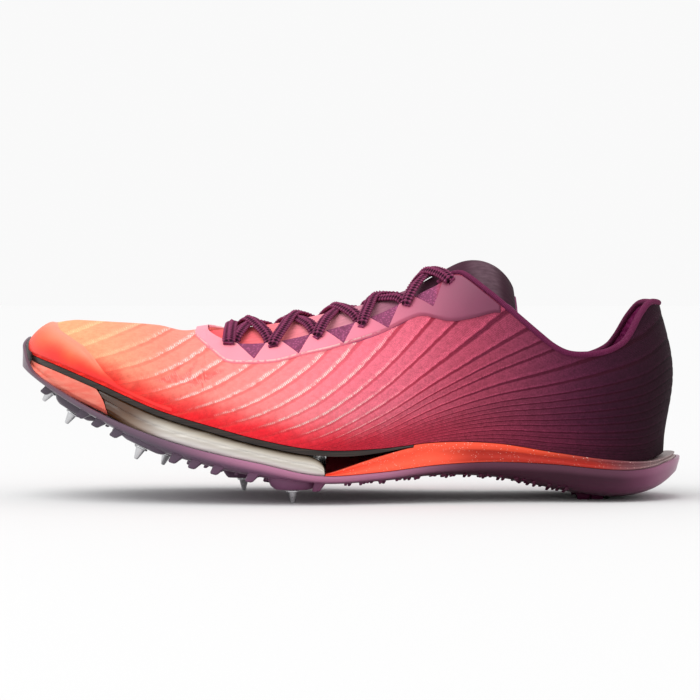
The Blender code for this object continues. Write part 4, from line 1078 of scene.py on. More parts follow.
# %% Toe cap
OVERLAY_THICK = 0.0009
OVERLAY_ROOT = 0.0005
FILM_EDGE = 0.0016       # width over which a film thins out
CAP_EDGE = (
    (0.62, 0.745), (0.69, 0.795), (0.77, 0.840), (0.88, 0.868), (0.99, 0.888),
    (1.06, 0.905), (1.11, 0.925), (1.165, 0.948), (1.22, 0.960), (1.30, 0.965),
)
CAP_START = 0.765
CAP_LOW = 0.03           # climbs of the cap's lower edge and of its lowest top
CAP_LEAST = 0.06
CAP_COLUMNS = 90
CAP_ROWS = 26
FILM_LEAST = 0.00004     # what is left of a film at its edge


def cap_film(start):
    """Smooth fused film, red at the sole and orange to salmon above, a little cloudy, with a painted highlight
    along its top.
    """
    height, station = start.mark("rise"), start.mark("station")
    cloud = start.noise(70.0, 3.0)
    lift = height + (cloud - 0.5) * 0.007
    warm = lift.between(0.001, 0.012).blend(linear(246, 38, 38), linear(252, 104, 46))
    tip = (station.between(0.92, 1.0) * 0.5).blend(warm, linear(248, 74, 58))
    # The upper part of the cap towards the toe is painted paler: a painted highlight.
    top = (lift.between(0.013, 0.021) * station.between(0.80, 0.92)).blend(tip, linear(252, 156, 112))
    rear = start.mark("border").between(0.012, 0.0) * lift.between(0.003, 0.011)
    soft = (rear * 0.85).blend(top, linear(250, 142, 116))
    fine = start.noise(1400.0, 2.0)
    return {"Base Color": soft.scaled(0.90 + 0.14 * fine), "Roughness": 0.46 + 0.1 * fine,
            "Specular IOR Level": 0.35, "Coat Weight": 0.08, "Coat Roughness": 0.3, "Normal": fine.relief(0.00005)}


def cap_top(u, side):
    heights = [TOE_LIFT * low for low, _ in CAP_EDGE]
    edges = [station for _, station in CAP_EDGE]

    def inside(point):
        return np.interp(point[..., 2], heights, edges) - station_of(point[..., 0])
    return climb_where(u, side, inside)


def film_rows(rows):
    """Shares from edge to edge that crowd towards both edges."""
    return step(np.linspace(0, 1, rows))


def make_toe_cap():
    u, side = round_the_foot(np.linspace(float(rib_at(CAP_START)), 1.0, CAP_COLUMNS))
    u, side = np.append(u, u[0]), np.append(side, MEDIAL)
    top = np.maximum(cap_top(u, side), CAP_LEAST)
    climb = CAP_LOW + (top[:, None] - CAP_LOW) * film_rows(CAP_ROWS)
    u, side, walked = spread(u, side, climb)
    border = walked[:, -1:] - walked
    marks = {**cloth_marks(u, side, climb), "border": border}
    outer = (GAP + OVERLAY_THICK) * step(border / (2 * FILM_EDGE)) * step((walked + 0.0006) / FILM_EDGE)
    film = finish("fused_cap", cap_film)
    return sheet("toe_cap_skin", u, side, climb, -OVERLAY_ROOT, outer + FILM_LEAST, [film], marks)


place(make_toe_cap(), "toe_cap_film", "toe_cap")

# %% [markdown]
# The eyestay is the band that the laces pull on. Each half is its own sheet, because the two meet only before
# the throat. Its top row follows the throat's edge and drops into a V between two eyelets, and its low row
# follows a table. The V leans towards the heel. The film has no eyelet holes of its own: each half is open where
# it meets the other, which the Boolean doesn't take, and a lace comes out of the film at every eyelet.

# %% Eyestay
Band = namedtuple("Band", "station low")
BAND = [
    Band(0.262, 0.800), Band(0.273, 0.800), Band(0.305, 0.777), Band(0.340, 0.764), Band(0.382, 0.787),
    Band(0.409, 0.764), Band(0.444, 0.716), Band(0.495, 0.670), Band(0.524, 0.646), Band(0.567, 0.620),
    Band(0.611, 0.590), Band(0.655, 0.585), Band(0.685, 0.592), Band(0.705, 0.630), Band(0.738, 0.700),
]
BAND_LEAST = 0.0040
BAND_CLIMB = 0.01        # least climb from the band's low edge to its top
BAND_BACK = 0.0009
BAND_EDGE = 0.0012       # width over which the band thins out
BAND_ROOT = 0.0003       # and how far into that width its edge already lies
NOTCH_HALF = 0.0068
NOTCH_DEPTH = 0.0118
BAND_COLUMNS = 560
BAND_ROWS = 22
BAND_COLOURS = [(0.26, (104, 46, 72)), (0.33, (132, 62, 90)), (0.40, (184, 92, 120)), (0.48, (232, 120, 146)),
                (0.58, (252, 138, 156)), (0.72, (254, 150, 166))]
NOTCH_SKEW = 0.0016      # the tip of a notch leans towards the heel


def stay_film(start):
    """Fused film with a soft gloss, pink at the toe end and plum at the ankle."""
    station = start.mark("station")
    cloud = start.noise(160.0, 2.0)
    fine = start.noise(1800.0, 2.0)
    edge = start.mark("border").between(0.0009, 0.0007) * start.mark("border").between(0.0002, 0.0004)
    stitched = (edge * start.cells(800.0).between(0.75, 0.45) * station.between(0.42, 0.52) * 0.6).blend(
        station.ramp(BAND_COLOURS), linear(*THREAD_WHITE))
    body = stitched.scaled(0.84 + 0.14 * cloud)
    return {"Base Color": body, "Roughness": 0.44 + 0.12 * cloud, "Specular IOR Level": 0.25, "Coat Weight": 0.05,
            "Coat Roughness": 0.25, "Normal": (fine * 0.4 + cloud * 0.3).relief(0.00006)}


def notch(station):
    """How far below the throat edge the band starts: deep in a V between each two eyelets."""
    eyelets = mix(FIRST_EYELET, LAST_EYELET, np.arange(EYELET_COUNT) / (EYELET_COUNT - 1))
    middles = (eyelets[:-1] + eyelets[1:]) / 2
    off = (middles - station[:, None]) * LAST_LENGTH - NOTCH_SKEW
    reach = np.where(off > 0, NOTCH_HALF - NOTCH_SKEW, NOTCH_HALF + NOTCH_SKEW)
    return NOTCH_DEPTH * np.max(np.maximum(1 - np.abs(off) / reach, 0), axis=1)


def make_band(side_number, name):
    stations = np.linspace(BAND[0].station, BAND[-1].station, BAND_COLUMNS)
    u, side = rib_at(stations), np.full(BAND_COLUMNS, side_number)
    edge = edge_climb(u, side)
    drop = np.maximum(notch(stations), BAND_BACK)
    closed = stations >= THROAT_END - BAND_EDGE
    top = np.where(closed, edge, climb_below(u, side, edge, drop))
    low = ANKLE_RISE * reading(BAND, "low", stations)
    least = climb_below(u, side, edge, BAND_LEAST)
    low = np.minimum(climb_where(u, side, lambda point: point[..., 2] - low), least)
    low = np.minimum(low, top - BAND_CLIMB)
    share = film_rows(BAND_ROWS)
    share = np.where(closed[:, None], np.sin(share * math.pi / 2), share)
    climb = low[:, None] + (top - low)[:, None] * share
    u, side, walked = spread(u, side, climb)
    border = np.minimum(np.where(closed[:, None], 1.0, walked[:, -1:] - walked), walked)
    marks = {**cloth_marks(u, side, climb), "border": border}
    rear = (stations[:, None] - BAND[0].station) * LAST_LENGTH
    outer = (GAP + OVERLAY_THICK) * step((border + BAND_ROOT) / BAND_EDGE) * step((rear + BAND_ROOT) / BAND_EDGE)
    return sheet(name, u, side, climb, -OVERLAY_ROOT, outer + FILM_LEAST, [film], marks)


film = finish("fused_stay", stay_film)
for number, name in ((LATERAL, "eyestay_outer_side"), (MEDIAL, "eyestay_inner_side")):
    place(make_band(number, name), "eyestay_film", "eyestay")

# %% [markdown]
# The collar's edge is wrapped in a knitted tape. It is a tube swept along the edge, a little higher than it is
# wide, with fine ridges across it where the tape is gathered.

# %% Collar binding
SWEEP_SIDES = 16
BINDING_COLUMNS = 200
BINDING_PAST = 0.012     # how far the tape runs on past the collar's corner
TAPE_WIDE = 2.3          # width and thickness of the tape in radii of the solid model's binding
TAPE_THICK = 2.7


def swept(path, normals, width, thick, sides):
    """Rings and faces of a flat-oval cord along a path, with each corner's length walked and place across."""
    along = np.gradient(path, axis=0)
    across = unit(np.cross(along, normals))
    angle = 2 * math.pi * (np.arange(sides) + 0.5) / sides
    c, s = np.cos(angle), np.sin(angle)
    rings = (path[:, None] + across[:, None] * column(c * np.reshape(width, (-1, 1)) / 2)
             + normals[:, None] * column(s * np.reshape(thick, (-1, 1)) / 2))
    faces = tube_faces(len(path), sides).tolist() + end_faces(len(path), sides)
    walked = np.concatenate([[0], np.cumsum(np.linalg.norm(np.diff(path, axis=0), axis=1))])
    return rings, faces, np.repeat(walked, sides), np.tile(c, len(path))


def shaded(name, corners, faces, material, marks=None, sharp=True):
    """Object from closed parts, smooth but for its sharp edges, with its material and stored numbers."""
    made = mesh_from(name, corners, faces)
    store(made.data, marks or {})
    made.data.shade_smooth()
    if sharp:
        made.data.set_sharp_from_angle(angle=SHARP)
    made.data.materials.append(material)
    print(name, len(faces), "faces")
    return made


def cord(name, path, normals, width, thick, material, sides=SWEEP_SIDES, bumps=None):
    """Object for a swept cord, with a relief worked out from its length and its place across."""
    rings, faces, walked, across = swept(path, normals, width, thick, sides)
    corners = rings.reshape(-1, 3)
    if bumps is not None:
        outward = unit(corners - np.repeat(path, sides, axis=0))
        corners = corners + outward * column(bumps(walked, across))
    marks = {"along": walked, "across": across, "station": station_of(corners[:, 0])}
    return shaded(name, corners, faces, material, marks, sharp=False)


def binding_tape(start):
    """Knitted tape: fine ridges across, berry red with painted shade in the folds."""
    ridges = (start.mark("along") * 1400.0).wave()
    fuzz = start.noise(1500.0, 2.0)
    body = start.mark("station").ramp([(0.0, (104, 34, 70)), (0.15, (98, 28, 66)), (0.35, (112, 40, 76))])
    # The folds between the ridges are painted darker: painted shade.
    shaded = (0.35 * ridges.between(0.2, -1.0)).blend(body, linear(52, 10, 34))
    worn = (0.25 * fuzz.between(0.5, 0.8)).blend(shaded, linear(150, 74, 116))
    return {"Base Color": worn, "Roughness": 0.85, "Specular IOR Level": 0.15,
            "Normal": (ridges * 0.5 + fuzz).relief(0.00018)}


def make_binding():
    end = float(rib_at(COLLAR_START + BINDING_PAST))
    u = np.concatenate([np.linspace(end, 0, BINDING_COLUMNS), np.linspace(0, end, BINDING_COLUMNS)[1:]])
    side = np.concatenate([np.full(BINDING_COLUMNS, LATERAL), np.full(BINDING_COLUMNS - 1, MEDIAL)])
    climb = edge_climb(u, side)
    edge = form(u, side, climb, -UPPER_WALL / 2)
    rise = unit(form(u, side, climb + 0.01) - form(u, side, climb - 0.01))
    path = edge + rise * BINDING_RADIUS
    return cord("collar_tape", path, form_normal(u, side, climb), TAPE_WIDE * BINDING_RADIUS,
                TAPE_THICK * BINDING_RADIUS, finish("knit_tape", binding_tape))


place(make_binding(), "binding_knit", "collar_binding")

# %% [markdown]
# The sole is a stack: a shell with pins at the bottom, then a foam toe piece, a long air bag and a foam heel
# wedge side by side, then a thin stiff plate. Each layer is lofted: a profile is worked out at many ribs, and
# the profiles are joined with faces.

# %% Layers of the sole
INSOLE_INSET = UPPER_WALL + 0.0012
INSOLE_LIFT = 0.0003
INSOLE_THICK = 0.0028
CARBON_THICK = 0.0022
SHELL_THICK = 0.0015
RIM_HEIGHT = 0.0010
NEST = SHELL_THICK + GAP
STEP_UP = RIM_HEIGHT + GAP
TOE_FOAM_END = 0.8830
AIR_REAR = 0.5330
AIR_ROUND = 0.030
WEDGE_TIP = 0.5315
CARBON_END = 0.3980
CUT_GAP = 0.0012
SCOOP_OUT = 0.80
SCOOP_IN = 0.55
WEDGE_RISE = 0.0018
FOAM_REACH = 0.75
ACROSS = np.array([0.0, 0.3, 0.5, 0.62, 0.72, 0.80, 0.87, 0.92, 0.96, 0.985, 1.0])
Flank = namedtuple("Flank", "station out")
FRONT_LEAN = 0.0043      # how far the toe foam's rear end leans back at its foot
FRONT_SPREAD = 0.05
FLANK_ROWS = 15
LAYER_LEAST = 0.0002     # least thickness of a layer
PLATE_TIP = 0.35         # share of the plate's thickness at its rear end
PLATE_TIP_LONG = 0.10


def ribs_between(first, last, count):
    """Ribs from one station to another, close together where the outline turns."""
    return np.linspace(float(rib_at(first)), float(rib_at(last)), count)


def layer_point(u, side, across, height, grow=0.0, reach=0.0):
    centre = spine(u, reach)
    point = centre + (foot(u, side, grow, reach) - centre) * across
    point[..., 2] = height(mix(spine_station(u), foot_station(u), across))
    return point


def carbon_under(station):
    thin = step((station - CARBON_END) / PLATE_TIP_LONG)
    return footbed(station) - GAP - CARBON_THICK * mix(PLATE_TIP, 1.0, thin)


def sideways(u, side):
    """Outward direction of the plan."""
    return unit(foot(u, side, 0.001) - foot(u, side, 0.0))


def nested(u, side, flank, top, reach=0.0):
    """Profile of a layer that stands in the spike plate: its top, its flank above the rim, its belly."""
    covers = [top(u, side, w) for w in ACROSS]
    high = covers[-1]
    low = foot(u, side, 0.0, reach)
    low[..., 2] = np.minimum(rim_height(u) + STEP_UP, high[..., 2] - LAYER_LEAST)
    outward = sideways(u, side)
    points = covers[:-1]
    for share in np.linspace(0, 1, FLANK_ROWS):
        points.append(mix(high, low, share) + outward * reading(flank, "out", share))
    inner = bowl(u, side, 1.0, NEST)
    inner[..., 2] = low[..., 2]
    points.append(inner)
    for w, cover in zip(ACROSS[::-1], covers[::-1]):
        under = bowl(u, side, w, NEST)
        under[..., 2] = np.minimum(under[..., 2], cover[..., 2] - LAYER_LEAST)
        points.append(under)
    return np.stack(points, axis=1)


def sole_layer(name, ribs, profile, material, warp=0.0):
    """Lofted layer that stores, at each corner, its station and its place up the flank."""
    ring, faces = loft(ribs, profile)
    corners = ring.reshape(-1, 3)
    rim = np.repeat(rim_height(ribs), ring.shape[1])
    top = np.repeat(ring[:, len(ACROSS) - 1, 2], ring.shape[1])
    level = (corners[:, 2] - rim) / np.maximum(top - rim, 0.001)
    near = np.exp(-((station_of(corners[:, 0]) - TOE_FOAM_END) / FRONT_SPREAD) ** 2)
    corners[:, 0] += warp * near * (1 - np.clip(level, 0, 1) ** 2)
    marks = {"station": station_of(corners[:, 0]), "level": level, "above": corners[:, 2] - rim}
    return piece(name, corners, faces, [material], marks)


print("belly stands", NEST, "inside the shell")

# %% [markdown]
# The foams are moulded and keep faint marks of the press. The heel's foam has white specks, the toe's has wavy
# lines. The air bag is clear on the real shoe and shows a pearly shine. True glass needs much time to render, so
# bands of colour, which are painted highlights, reflections and shade, and a strong clear coat stand for it here.

# %% Foam, air bag and plate finishes


def toe_foam(start):
    """Salmon foam with shallow wavy pressing lines along it."""
    waves = start.noise(3.0, 3.0, start.stretched(25.0, 40.0, 140.0))
    colour = waves.between(0.35, 0.65).blend(linear(250, 118, 100), linear(254, 148, 128))
    low = start.mark("level").between(0.35, 0.0)
    return {"Base Color": (0.4 * low).blend(colour, linear(236, 88, 80)).scaled(0.9), "Roughness": 0.6,
            "Specular IOR Level": 0.3, "Normal": (waves + 0.3 * start.noise(1200.0)).relief(0.0003)}


def heel_foam(start):
    """Orange foam with white specks, plum towards the tail, a darker channel painted as shade and maroon painted
    shade in the hollow.
    """
    station, level = start.mark("station"), start.mark("level")
    body = station.ramp([(0.0, (168, 152, 150)), (0.05, (108, 62, 74)), (0.12, (136, 46, 44)),
                         (0.20, (226, 70, 36)), (0.30, (252, 84, 56)), (0.42, (254, 88, 60))])
    # The side channel is painted darker: painted shade in the groove.
    channel = level.between(0.10, 0.22) * level.between(0.76, 0.62) * station.between(0.07, 0.13)
    dark = (channel * station.between(0.38, 0.29) * 0.95).blend(body, linear(160, 22, 2))
    # Maroon painted shade in the hollow under the arch, where the air bag and the foam leave a gap.
    hollow = station.between(0.405, 0.425) * start.mark("scoop")
    shade = (hollow * 0.95).blend(dark, linear(92, 12, 30))
    dots = start.cells(1100.0).between(0.24, 0.12) * start.noise(240.0).between(0.40, 0.52)
    more = dots * (0.45 + 0.55 * level.between(0.6, 0.9)) * (1.0 - 0.8 * hollow)
    speckled = (more * 0.8).blend(shade, linear(255, 214, 198))
    return {"Base Color": speckled.scaled(1.1), "Roughness": 0.5, "Specular IOR Level": 0.3, "Coat Weight": 0.06,
            "Coat Roughness": 0.3, "Normal": start.noise(900.0, 3.0).relief(0.00012)}


# Painted light up the bag's height: grey low down, painted highlights with the seam's mid-tone between them, and a
# dark painted shadow under the plate at the top.
AIR_LIGHT_AND_SHADE = [(0.0, (150, 140, 146)), (0.10, (196, 188, 188)), (0.30, (232, 226, 220)), (0.46, (176, 166, 154)),
             (0.56, (244, 240, 232)), (0.70, (214, 206, 192)), (0.84, (150, 136, 116)), (0.95, (80, 62, 46)),
             (1.0, (48, 34, 24))]


def air_skin(start):
    """Clear bag with a pearly shine: long bands of painted highlights, reflections and shadow along it, amber at
    the toe end, darkened with painted shade.
    """
    station, level = start.mark("station"), start.mark("level")
    # The long streaks are partly painted reflections and partly the fibres inside the bag.
    streaks = start.noise(2.0, 2.0, start.stretched(9.0, 40.0, 420.0))
    bands = (level + (streaks - 0.5) * 0.16).ramp(AIR_LIGHT_AND_SHADE).scaled(0.62 + 0.5 * streaks)
    # A painted highlight on the curve behind the bag's amber front end.
    front_highlight = level.between(0.62, 0.15) * station.between(0.86, 0.80)
    # The toe end is the bag's amber tint, darkened further in front with painted shade where its dark inside shows
    # through.
    amber = station.between(0.765, 0.835).blend(bands, linear(84, 50, 24))
    lit = (front_highlight * station.between(0.765, 0.835) * 0.5).blend(amber, linear(196, 172, 148))
    dark = (station.between(0.83, 0.875) * level.between(0.1, 0.6) * 0.7).blend(lit, linear(44, 22, 10))
    return {"Base Color": dark, "Roughness": 0.14 + 0.12 * streaks, "Coat Weight": 0.6, "Coat Roughness": 0.05,
            "Normal": streaks.relief(0.0001)}


def carbon(start):
    """Black laminate whose edge shows its layers."""
    layers = start.noise(1.0, 2.0, start.stretched(60.0, 60.0, 4200.0))
    colour = layers.between(0.35, 0.7).blend(linear(22, 14, 10), linear(58, 45, 38))
    return {"Base Color": colour, "Roughness": 0.42, "Specular IOR Level": 0.35, "Coat Weight": 0.15,
            "Coat Roughness": 0.2, "Normal": layers.relief(0.0001)}


def insole_cloth(start):
    """Brushed knit on the footbed."""
    knit = start.cells(1100.0)
    colour = knit.between(0.1, 0.6).blend(linear(86, 30, 56), linear(48, 12, 30))
    return {"Base Color": colour, "Roughness": 0.95, "Specular IOR Level": 0.1,
            "Normal": (1.0 - knit).relief(0.0002)}


print("colours of the air bag", len(AIR_LIGHT_AND_SHADE))

# %% [markdown]
# The two foams and the air bag have the same build: a top under what lies above, a flank along the sole's edge
# and a belly that nests in the shell. Only tops and flanks differ. The heel foam's front end is scooped out
# under the arch, and its tip runs down to the rim.

# %% Toe foam, air bag, heel foam and carbon plate
TOE_FLANK = [Flank(0.0, 0.0), Flank(0.5, 0.0003), Flank(1.0, 0.0)]
AIR_FLANK = [Flank(0.0, -0.0012), Flank(0.10, -0.0006), Flank(0.25, -0.0002), Flank(0.45, -0.0001),
             Flank(0.52, -0.0006), Flank(0.60, -0.0002), Flank(0.75, 0.0), Flank(0.90, -0.0001),
             Flank(1.0, -0.0005)]
FOAM_FLANK = [Flank(0.0, 0.0), Flank(0.20, -0.0001), Flank(0.36, -0.0008), Flank(0.50, -0.0010),
              Flank(0.64, -0.0008), Flank(0.80, -0.0001), Flank(1.0, 0.0)]


def under_plate(u, side, w):
    return layer_point(u, side, w, lambda s: carbon_under(s) - GAP)


def air_top(u, side, w):
    point = under_plate(u, side, w)
    base = bowl(u, side, w, NEST)[..., 2]
    share = np.clip((foot_station(u) - AIR_REAR) / AIR_ROUND, 0, 1)
    point[..., 2] = mix(base, point[..., 2], mix(BAG_END, 1.0, np.sqrt(1 - (1 - share) ** 2)))
    return point


BAG_END = 0.45           # share of its height that the air bag has at its round end
# These place the painted shade in the hollow under the arch.
HOLLOW_FADES = (0.001, 0.002)    # fade of the dark hollow at its foot and at its top
HOLLOW_TOP = 0.0005              # where it ends, over the footbed
HOLLOW_SIDE = (0.93, 0.05)       # share of the half width, and its fade
PLATE_SHARES = np.array([0.0, 0.5, 0.9, 1.0])
PLATE_BULGE = 0.0003


def wedge_top(u, side, w):
    here = foot_station(u)
    back = layer_point(u, side, w, lambda s: footbed(s) - GAP, reach=FOAM_REACH)
    front = layer_point(u, side, w, lambda s: carbon_under(s) - GAP, reach=FOAM_REACH)
    ramp = np.clip((WEDGE_TIP - here) / (WEDGE_TIP - CARBON_END), 0, 1)
    edge = mix(rim_height(u) + WEDGE_RISE, footbed(CARBON_END) - GAP - CARBON_THICK * 0.4, ramp)
    share = step((w - SCOOP_IN) / (SCOOP_OUT - SCOOP_IN))
    front[..., 2] = mix(front[..., 2], np.minimum(edge, front[..., 2]), share)
    return np.where((here <= CARBON_END - CUT_GAP / 2)[..., None], back, front)


def mark_hollow(wedge):
    """Store where the heel foam lies in the hollow under the arch, so that its finish can paint shade there."""
    points = np.array([corner.co for corner in wedge.data.vertices])
    station = station_of(points[:, 0] - settled[0])
    inside = np.clip(station, 0, 1)
    reach, fade = HOLLOW_SIDE
    top = footbed(inside) + HOLLOW_TOP
    edge = reading(SOLE, "rim", inside) * TOE_LIFT
    middle = BALL_WIDTH * reading(LAST, "middle", station) + settled[1]
    half = BALL_WIDTH * reading(LAST, "lateral", station)
    inner = step((reach - np.abs(points[:, 1] - middle) / half) / fade)
    scoop = inner * step((points[:, 2] - edge) / HOLLOW_FADES[0]) * step((top - points[:, 2]) / HOLLOW_FADES[1])
    store(wedge.data, {"scoop": scoop})


def make_sole_layers():
    toe = sole_layer("toe_foam_block", ribs_between(TOE_FOAM_END, 1.0, 50),
                     lambda u, side: nested(u, side, TOE_FLANK, under_plate),
                     finish("salmon_foam", toe_foam), FRONT_LEAN)
    place(toe, "toe_foam_salmon", "toe_foam")
    rear = AIR_REAR + AIR_ROUND * (1 - np.cos(np.linspace(0, math.pi / 2, 14)))
    ribs = np.concatenate([rib_at(rear), ribs_between(AIR_REAR + AIR_ROUND, TOE_FOAM_END - CUT_GAP, 110)[1:]])
    bag = sole_layer("air_bag", ribs, lambda u, side: nested(u, side, AIR_FLANK, air_top),
                     finish("pearl_film", air_skin), FRONT_LEAN)
    place(bag, "air_film", "air_unit")
    ribs = np.concatenate([ribs_between(0.0, CARBON_END - CUT_GAP, 130), ribs_between(CARBON_END, WEDGE_TIP, 50)])
    wedge = sole_layer("heel_foam_block", ribs, lambda u, side: nested(u, side, FOAM_FLANK, wedge_top, FOAM_REACH),
                       finish("speckled_foam", heel_foam))
    mark_hollow(wedge)
    place(wedge, "heel_foam_orange", "heel_foam")


def plate_profile(u, side):
    top = [layer_point(u, side, w, lambda s: footbed(s) - GAP) for w in PLATE_SHARES]
    under = [layer_point(u, side, w, carbon_under) for w in PLATE_SHARES[::-1]]
    bulge = 0.5 * (top[-1] + under[0]) + sideways(u, side) * PLATE_BULGE
    return np.stack(top + [bulge] + under, axis=1)


def insole_profile(u, side):
    def at(w, rise):
        return layer_point(u, side, w, lambda s: footbed(s) + rise, -INSOLE_INSET)
    top = [at(w, INSOLE_LIFT + INSOLE_THICK) for w in (0.0, 0.4, 0.7, 0.94)]
    edge = [at(0.985, INSOLE_LIFT + 0.85 * INSOLE_THICK), at(1.0, INSOLE_LIFT + 0.6 * INSOLE_THICK)]
    return np.stack(top + edge + [at(w, INSOLE_LIFT) for w in (1.0, 0.7, 0.0)], axis=1)


make_sole_layers()
place(sole_layer("stiff_plate", ribs_between(CARBON_END, 1.0, 110), plate_profile, finish("laminate", carbon)),
      "carbon_weave", "carbon_plate")
place(sole_layer("sock_liner", ribs_between(0.0, 1.0, 160), insole_profile, finish("brushed_knit", insole_cloth)),
      "insole_cloth", "insole")

# %% [markdown]
# The bottom shell is moulded in a slightly clear plastic. It cups the whole underside, curls up in front of the
# toe and carries pods for the pins, raked lugs round the forefoot and rows of fine teeth behind.

# %% Spike plate shell
LIP_START = 0.930
TOE_LIP_RISE = 0.0115
LIP_GAP = 6 * GAP + OVERLAY_THICK
LIP_THICK = 0.0011
SHELL_COLOURS = [(0.0, (168, 116, 142)), (0.04, (110, 48, 82)), (0.12, (74, 12, 48)), (0.24, (78, 12, 48)),
                 (0.38, (100, 26, 62)), (0.52, (132, 74, 108)), (0.66, (124, 84, 114)), (0.80, (104, 92, 108)),
                 (1.0, (84, 76, 84))]


def shell_plastic(start):
    """Slightly clear plastic: grey at the toe, lilac at the ball, plum at the arch and heel, painted darker at the
    top there as shade, with a painted highlight on the rim.
    """
    station, above = start.mark("station"), start.mark("above")
    depth = start.noise(40.0, 3.0)
    # The top of the shell at the arch and heel is painted darker: painted shade.
    top_shade = above.between(-0.012, -0.002) * station.between(0.50, 0.36) * station.between(0.03, 0.09)
    body = station.ramp(SHELL_COLOURS).scaled((0.62 + 0.4 * depth) * (1.0 - 0.5 * top_shade))
    # A painted highlight along the rim, strongest from the arch to the ball.
    rim = above.between(-0.0030, -0.0004)
    pink = station.between(0.30, 0.45) * station.between(0.80, 0.62)
    lit = (rim * (0.08 + 0.42 * pink)).blend(body, linear(224, 150, 184))
    return {"Base Color": lit, "Roughness": 0.30 + 0.12 * depth, "Specular IOR Level": 0.2, "Coat Weight": 0.12,
            "Coat Roughness": 0.12, "Normal": start.noise(600.0).relief(0.00004)}


def lip_rise(u):
    return TOE_LIP_RISE * step((u - LIP_START) / (1 - LIP_START))


def rim_point(u, side, share, inset):
    """Point on the rim's upright band, which grows into the lip in front of the toe."""
    rim, lip = rim_height(u), lip_rise(u)
    z = rim + (RIM_HEIGHT + lip) * share
    upright = foot(u, side, RIM_GROW - inset, reach=1.0)
    out = LIP_GAP + LIP_THICK * (1 - inset / SHELL_THICK)
    climb = climb_where(u, side, lambda point: point[..., 2] - z)
    flat = foot(u, side, out)
    close = np.where((z <= footbed(foot_station(u)))[..., None], flat, form(u, side, climb, out))
    point = mix(upright, close, column(step(share * lip / TOE_LIP_RISE * 1.6)))
    point[..., 2] = z
    return point


def shell_profile(u, side):
    shares = (0.2, 0.4, 0.6, 0.8, 0.93)
    inner = [bowl(u, side, w, SHELL_THICK) for w in ACROSS]
    inner += [rim_point(u, side, share, SHELL_THICK) for share in shares + (0.99,)]
    crown = [rim_point(u, side, 1.0, SHELL_THICK * 0.5)]
    outer = [rim_point(u, side, share, 0.0) for share in (0.99,) + shares[::-1]]
    outer += [bowl(u, side, w, 0.0) for w in ACROSS[::-1]]
    return np.stack(inner + crown + outer, axis=1)


plastic = finish("shell_plastic", shell_plastic)
shell = sole_layer("spike_shell", ribs_between(0.0, 1.0, 190), shell_profile, plastic)
place(shell, "plate_mauve", "spike_plate")

# %% [markdown]
# The pins are set in boat-shaped pods, so that each threads into solid plastic. Lugs and teeth give grip between
# them. All are built of rings from a footing inside the shell, with a boxy or a round outline, and gathered into
# one object, because they are moulded in one piece with the shell.

# %% Pods, lugs and teeth
Pin = namedtuple("Pin", "station side across pod upright")
PINS = [
    Pin(0.985, LATERAL, 0.62, 0.0010, False),
    Pin(0.938, LATERAL, 0.62, 0.0030, False),
    Pin(0.815, LATERAL, 0.78, 0.0012, False),
    Pin(0.790, MEDIAL, 0.50, 0.0034, False),
    Pin(0.668, MEDIAL, 0.66, 0.0, True),
    Pin(0.582, LATERAL, 0.74, 0.0, True),
]
PIN_LENGTH = 0.0055
PIN_FLANGE_RADIUS = 0.0030
PIN_NECK_RADIUS = 0.0018
PIN_TIP_RADIUS = 0.0006
PIN_ROOM = 0.0085
POD_RADIUS = 0.0062
POD_TIP_RADIUS = 0.0042
POD_LONG = 1.7
SINK = 0.0006
LUG_HEIGHT = 0.0034
LUG_SIZE = 0.0052
LUG_STATIONS = (0.965, 0.905, 0.880, 0.850, 0.806, 0.757, 0.727, 0.693, 0.640, 0.540)
LUG_ACROSS = 0.86
INNER_LUG_STATIONS = (0.88, 0.74, 0.62)
INNER_LUG_ACROSS = 0.25
TOOTH_HEIGHT = 0.0012
TOOTH_SIZE = 0.0023
TEETH = 20
TEETH_START = 0.500
TEETH_STEP = 0.0185
TEETH_ROWS = (0.80, 0.62, 0.36)
FORE_TEETH = 16
FORE_TEETH_START = 0.955
FORE_TEETH_STEP = 0.024
FORE_TEETH_ACROSS = 0.55
LUG_RAKE = 0.0018
INNER_LUG_RAKE = 0.0012
FORE_TOOTH_RAKE = 0.0009
TOOTH_RAKE = 0.0006
TOOTH_TAPER = 0.4
TOOTH_SQUARE = 3.0
REST_STATIONS = (0.060, 0.090)
REST_ACROSS = 0.42
REST_SIZE = 0.0060
TREAD_DEPTH = -0.01      # height against the rim at which the tread's colour is read


def pin_start(pin):
    here, down = sole_point(pin.station, pin.side, pin.across)
    if pin.upright:
        return np.array([here[0], here[1], PIN_LENGTH]), np.array([0.0, 0, -1]), here
    return here + down * (pin.pod + GAP), down, here


def free_of_pins(station, side, across):
    here, _ = sole_point(station, side, across)
    return all(np.linalg.norm(pin_start(pin)[0] - here) > PIN_ROOM for pin in PINS)


def lean_top(corners, here, low, slope):
    """Tilt the top of an upright block to the shell's slope, and keep its foot at height low flat."""
    share = np.clip((corners[:, 2] - low) / (here[2] - low), 0, 1)
    offset = corners - here
    corners[:, 2] -= share * (slope[0] * offset[:, 0] + slope[1] * offset[:, 1]) / slope[2]


def pod(pin):
    """Boat-shaped boss under a pin."""
    start, down, here = pin_start(pin)
    end = start - down * GAP
    rings = [(0.0, POD_RADIUS, 0.0), (0.35, POD_RADIUS * 0.97, 0.0), (0.7, POD_RADIUS * 0.88, 0.0),
             (0.9, POD_RADIUS * 0.76, 0.0), (1.0, POD_TIP_RADIUS, 0.0)]
    corners, faces = turned(here - down * SINK, end, rings, 28, 2.3, stretch=POD_LONG)
    if pin.upright:
        lean_top(corners, here, end[2], sole_point(pin.station, pin.side, pin.across)[1])
    return corners, faces


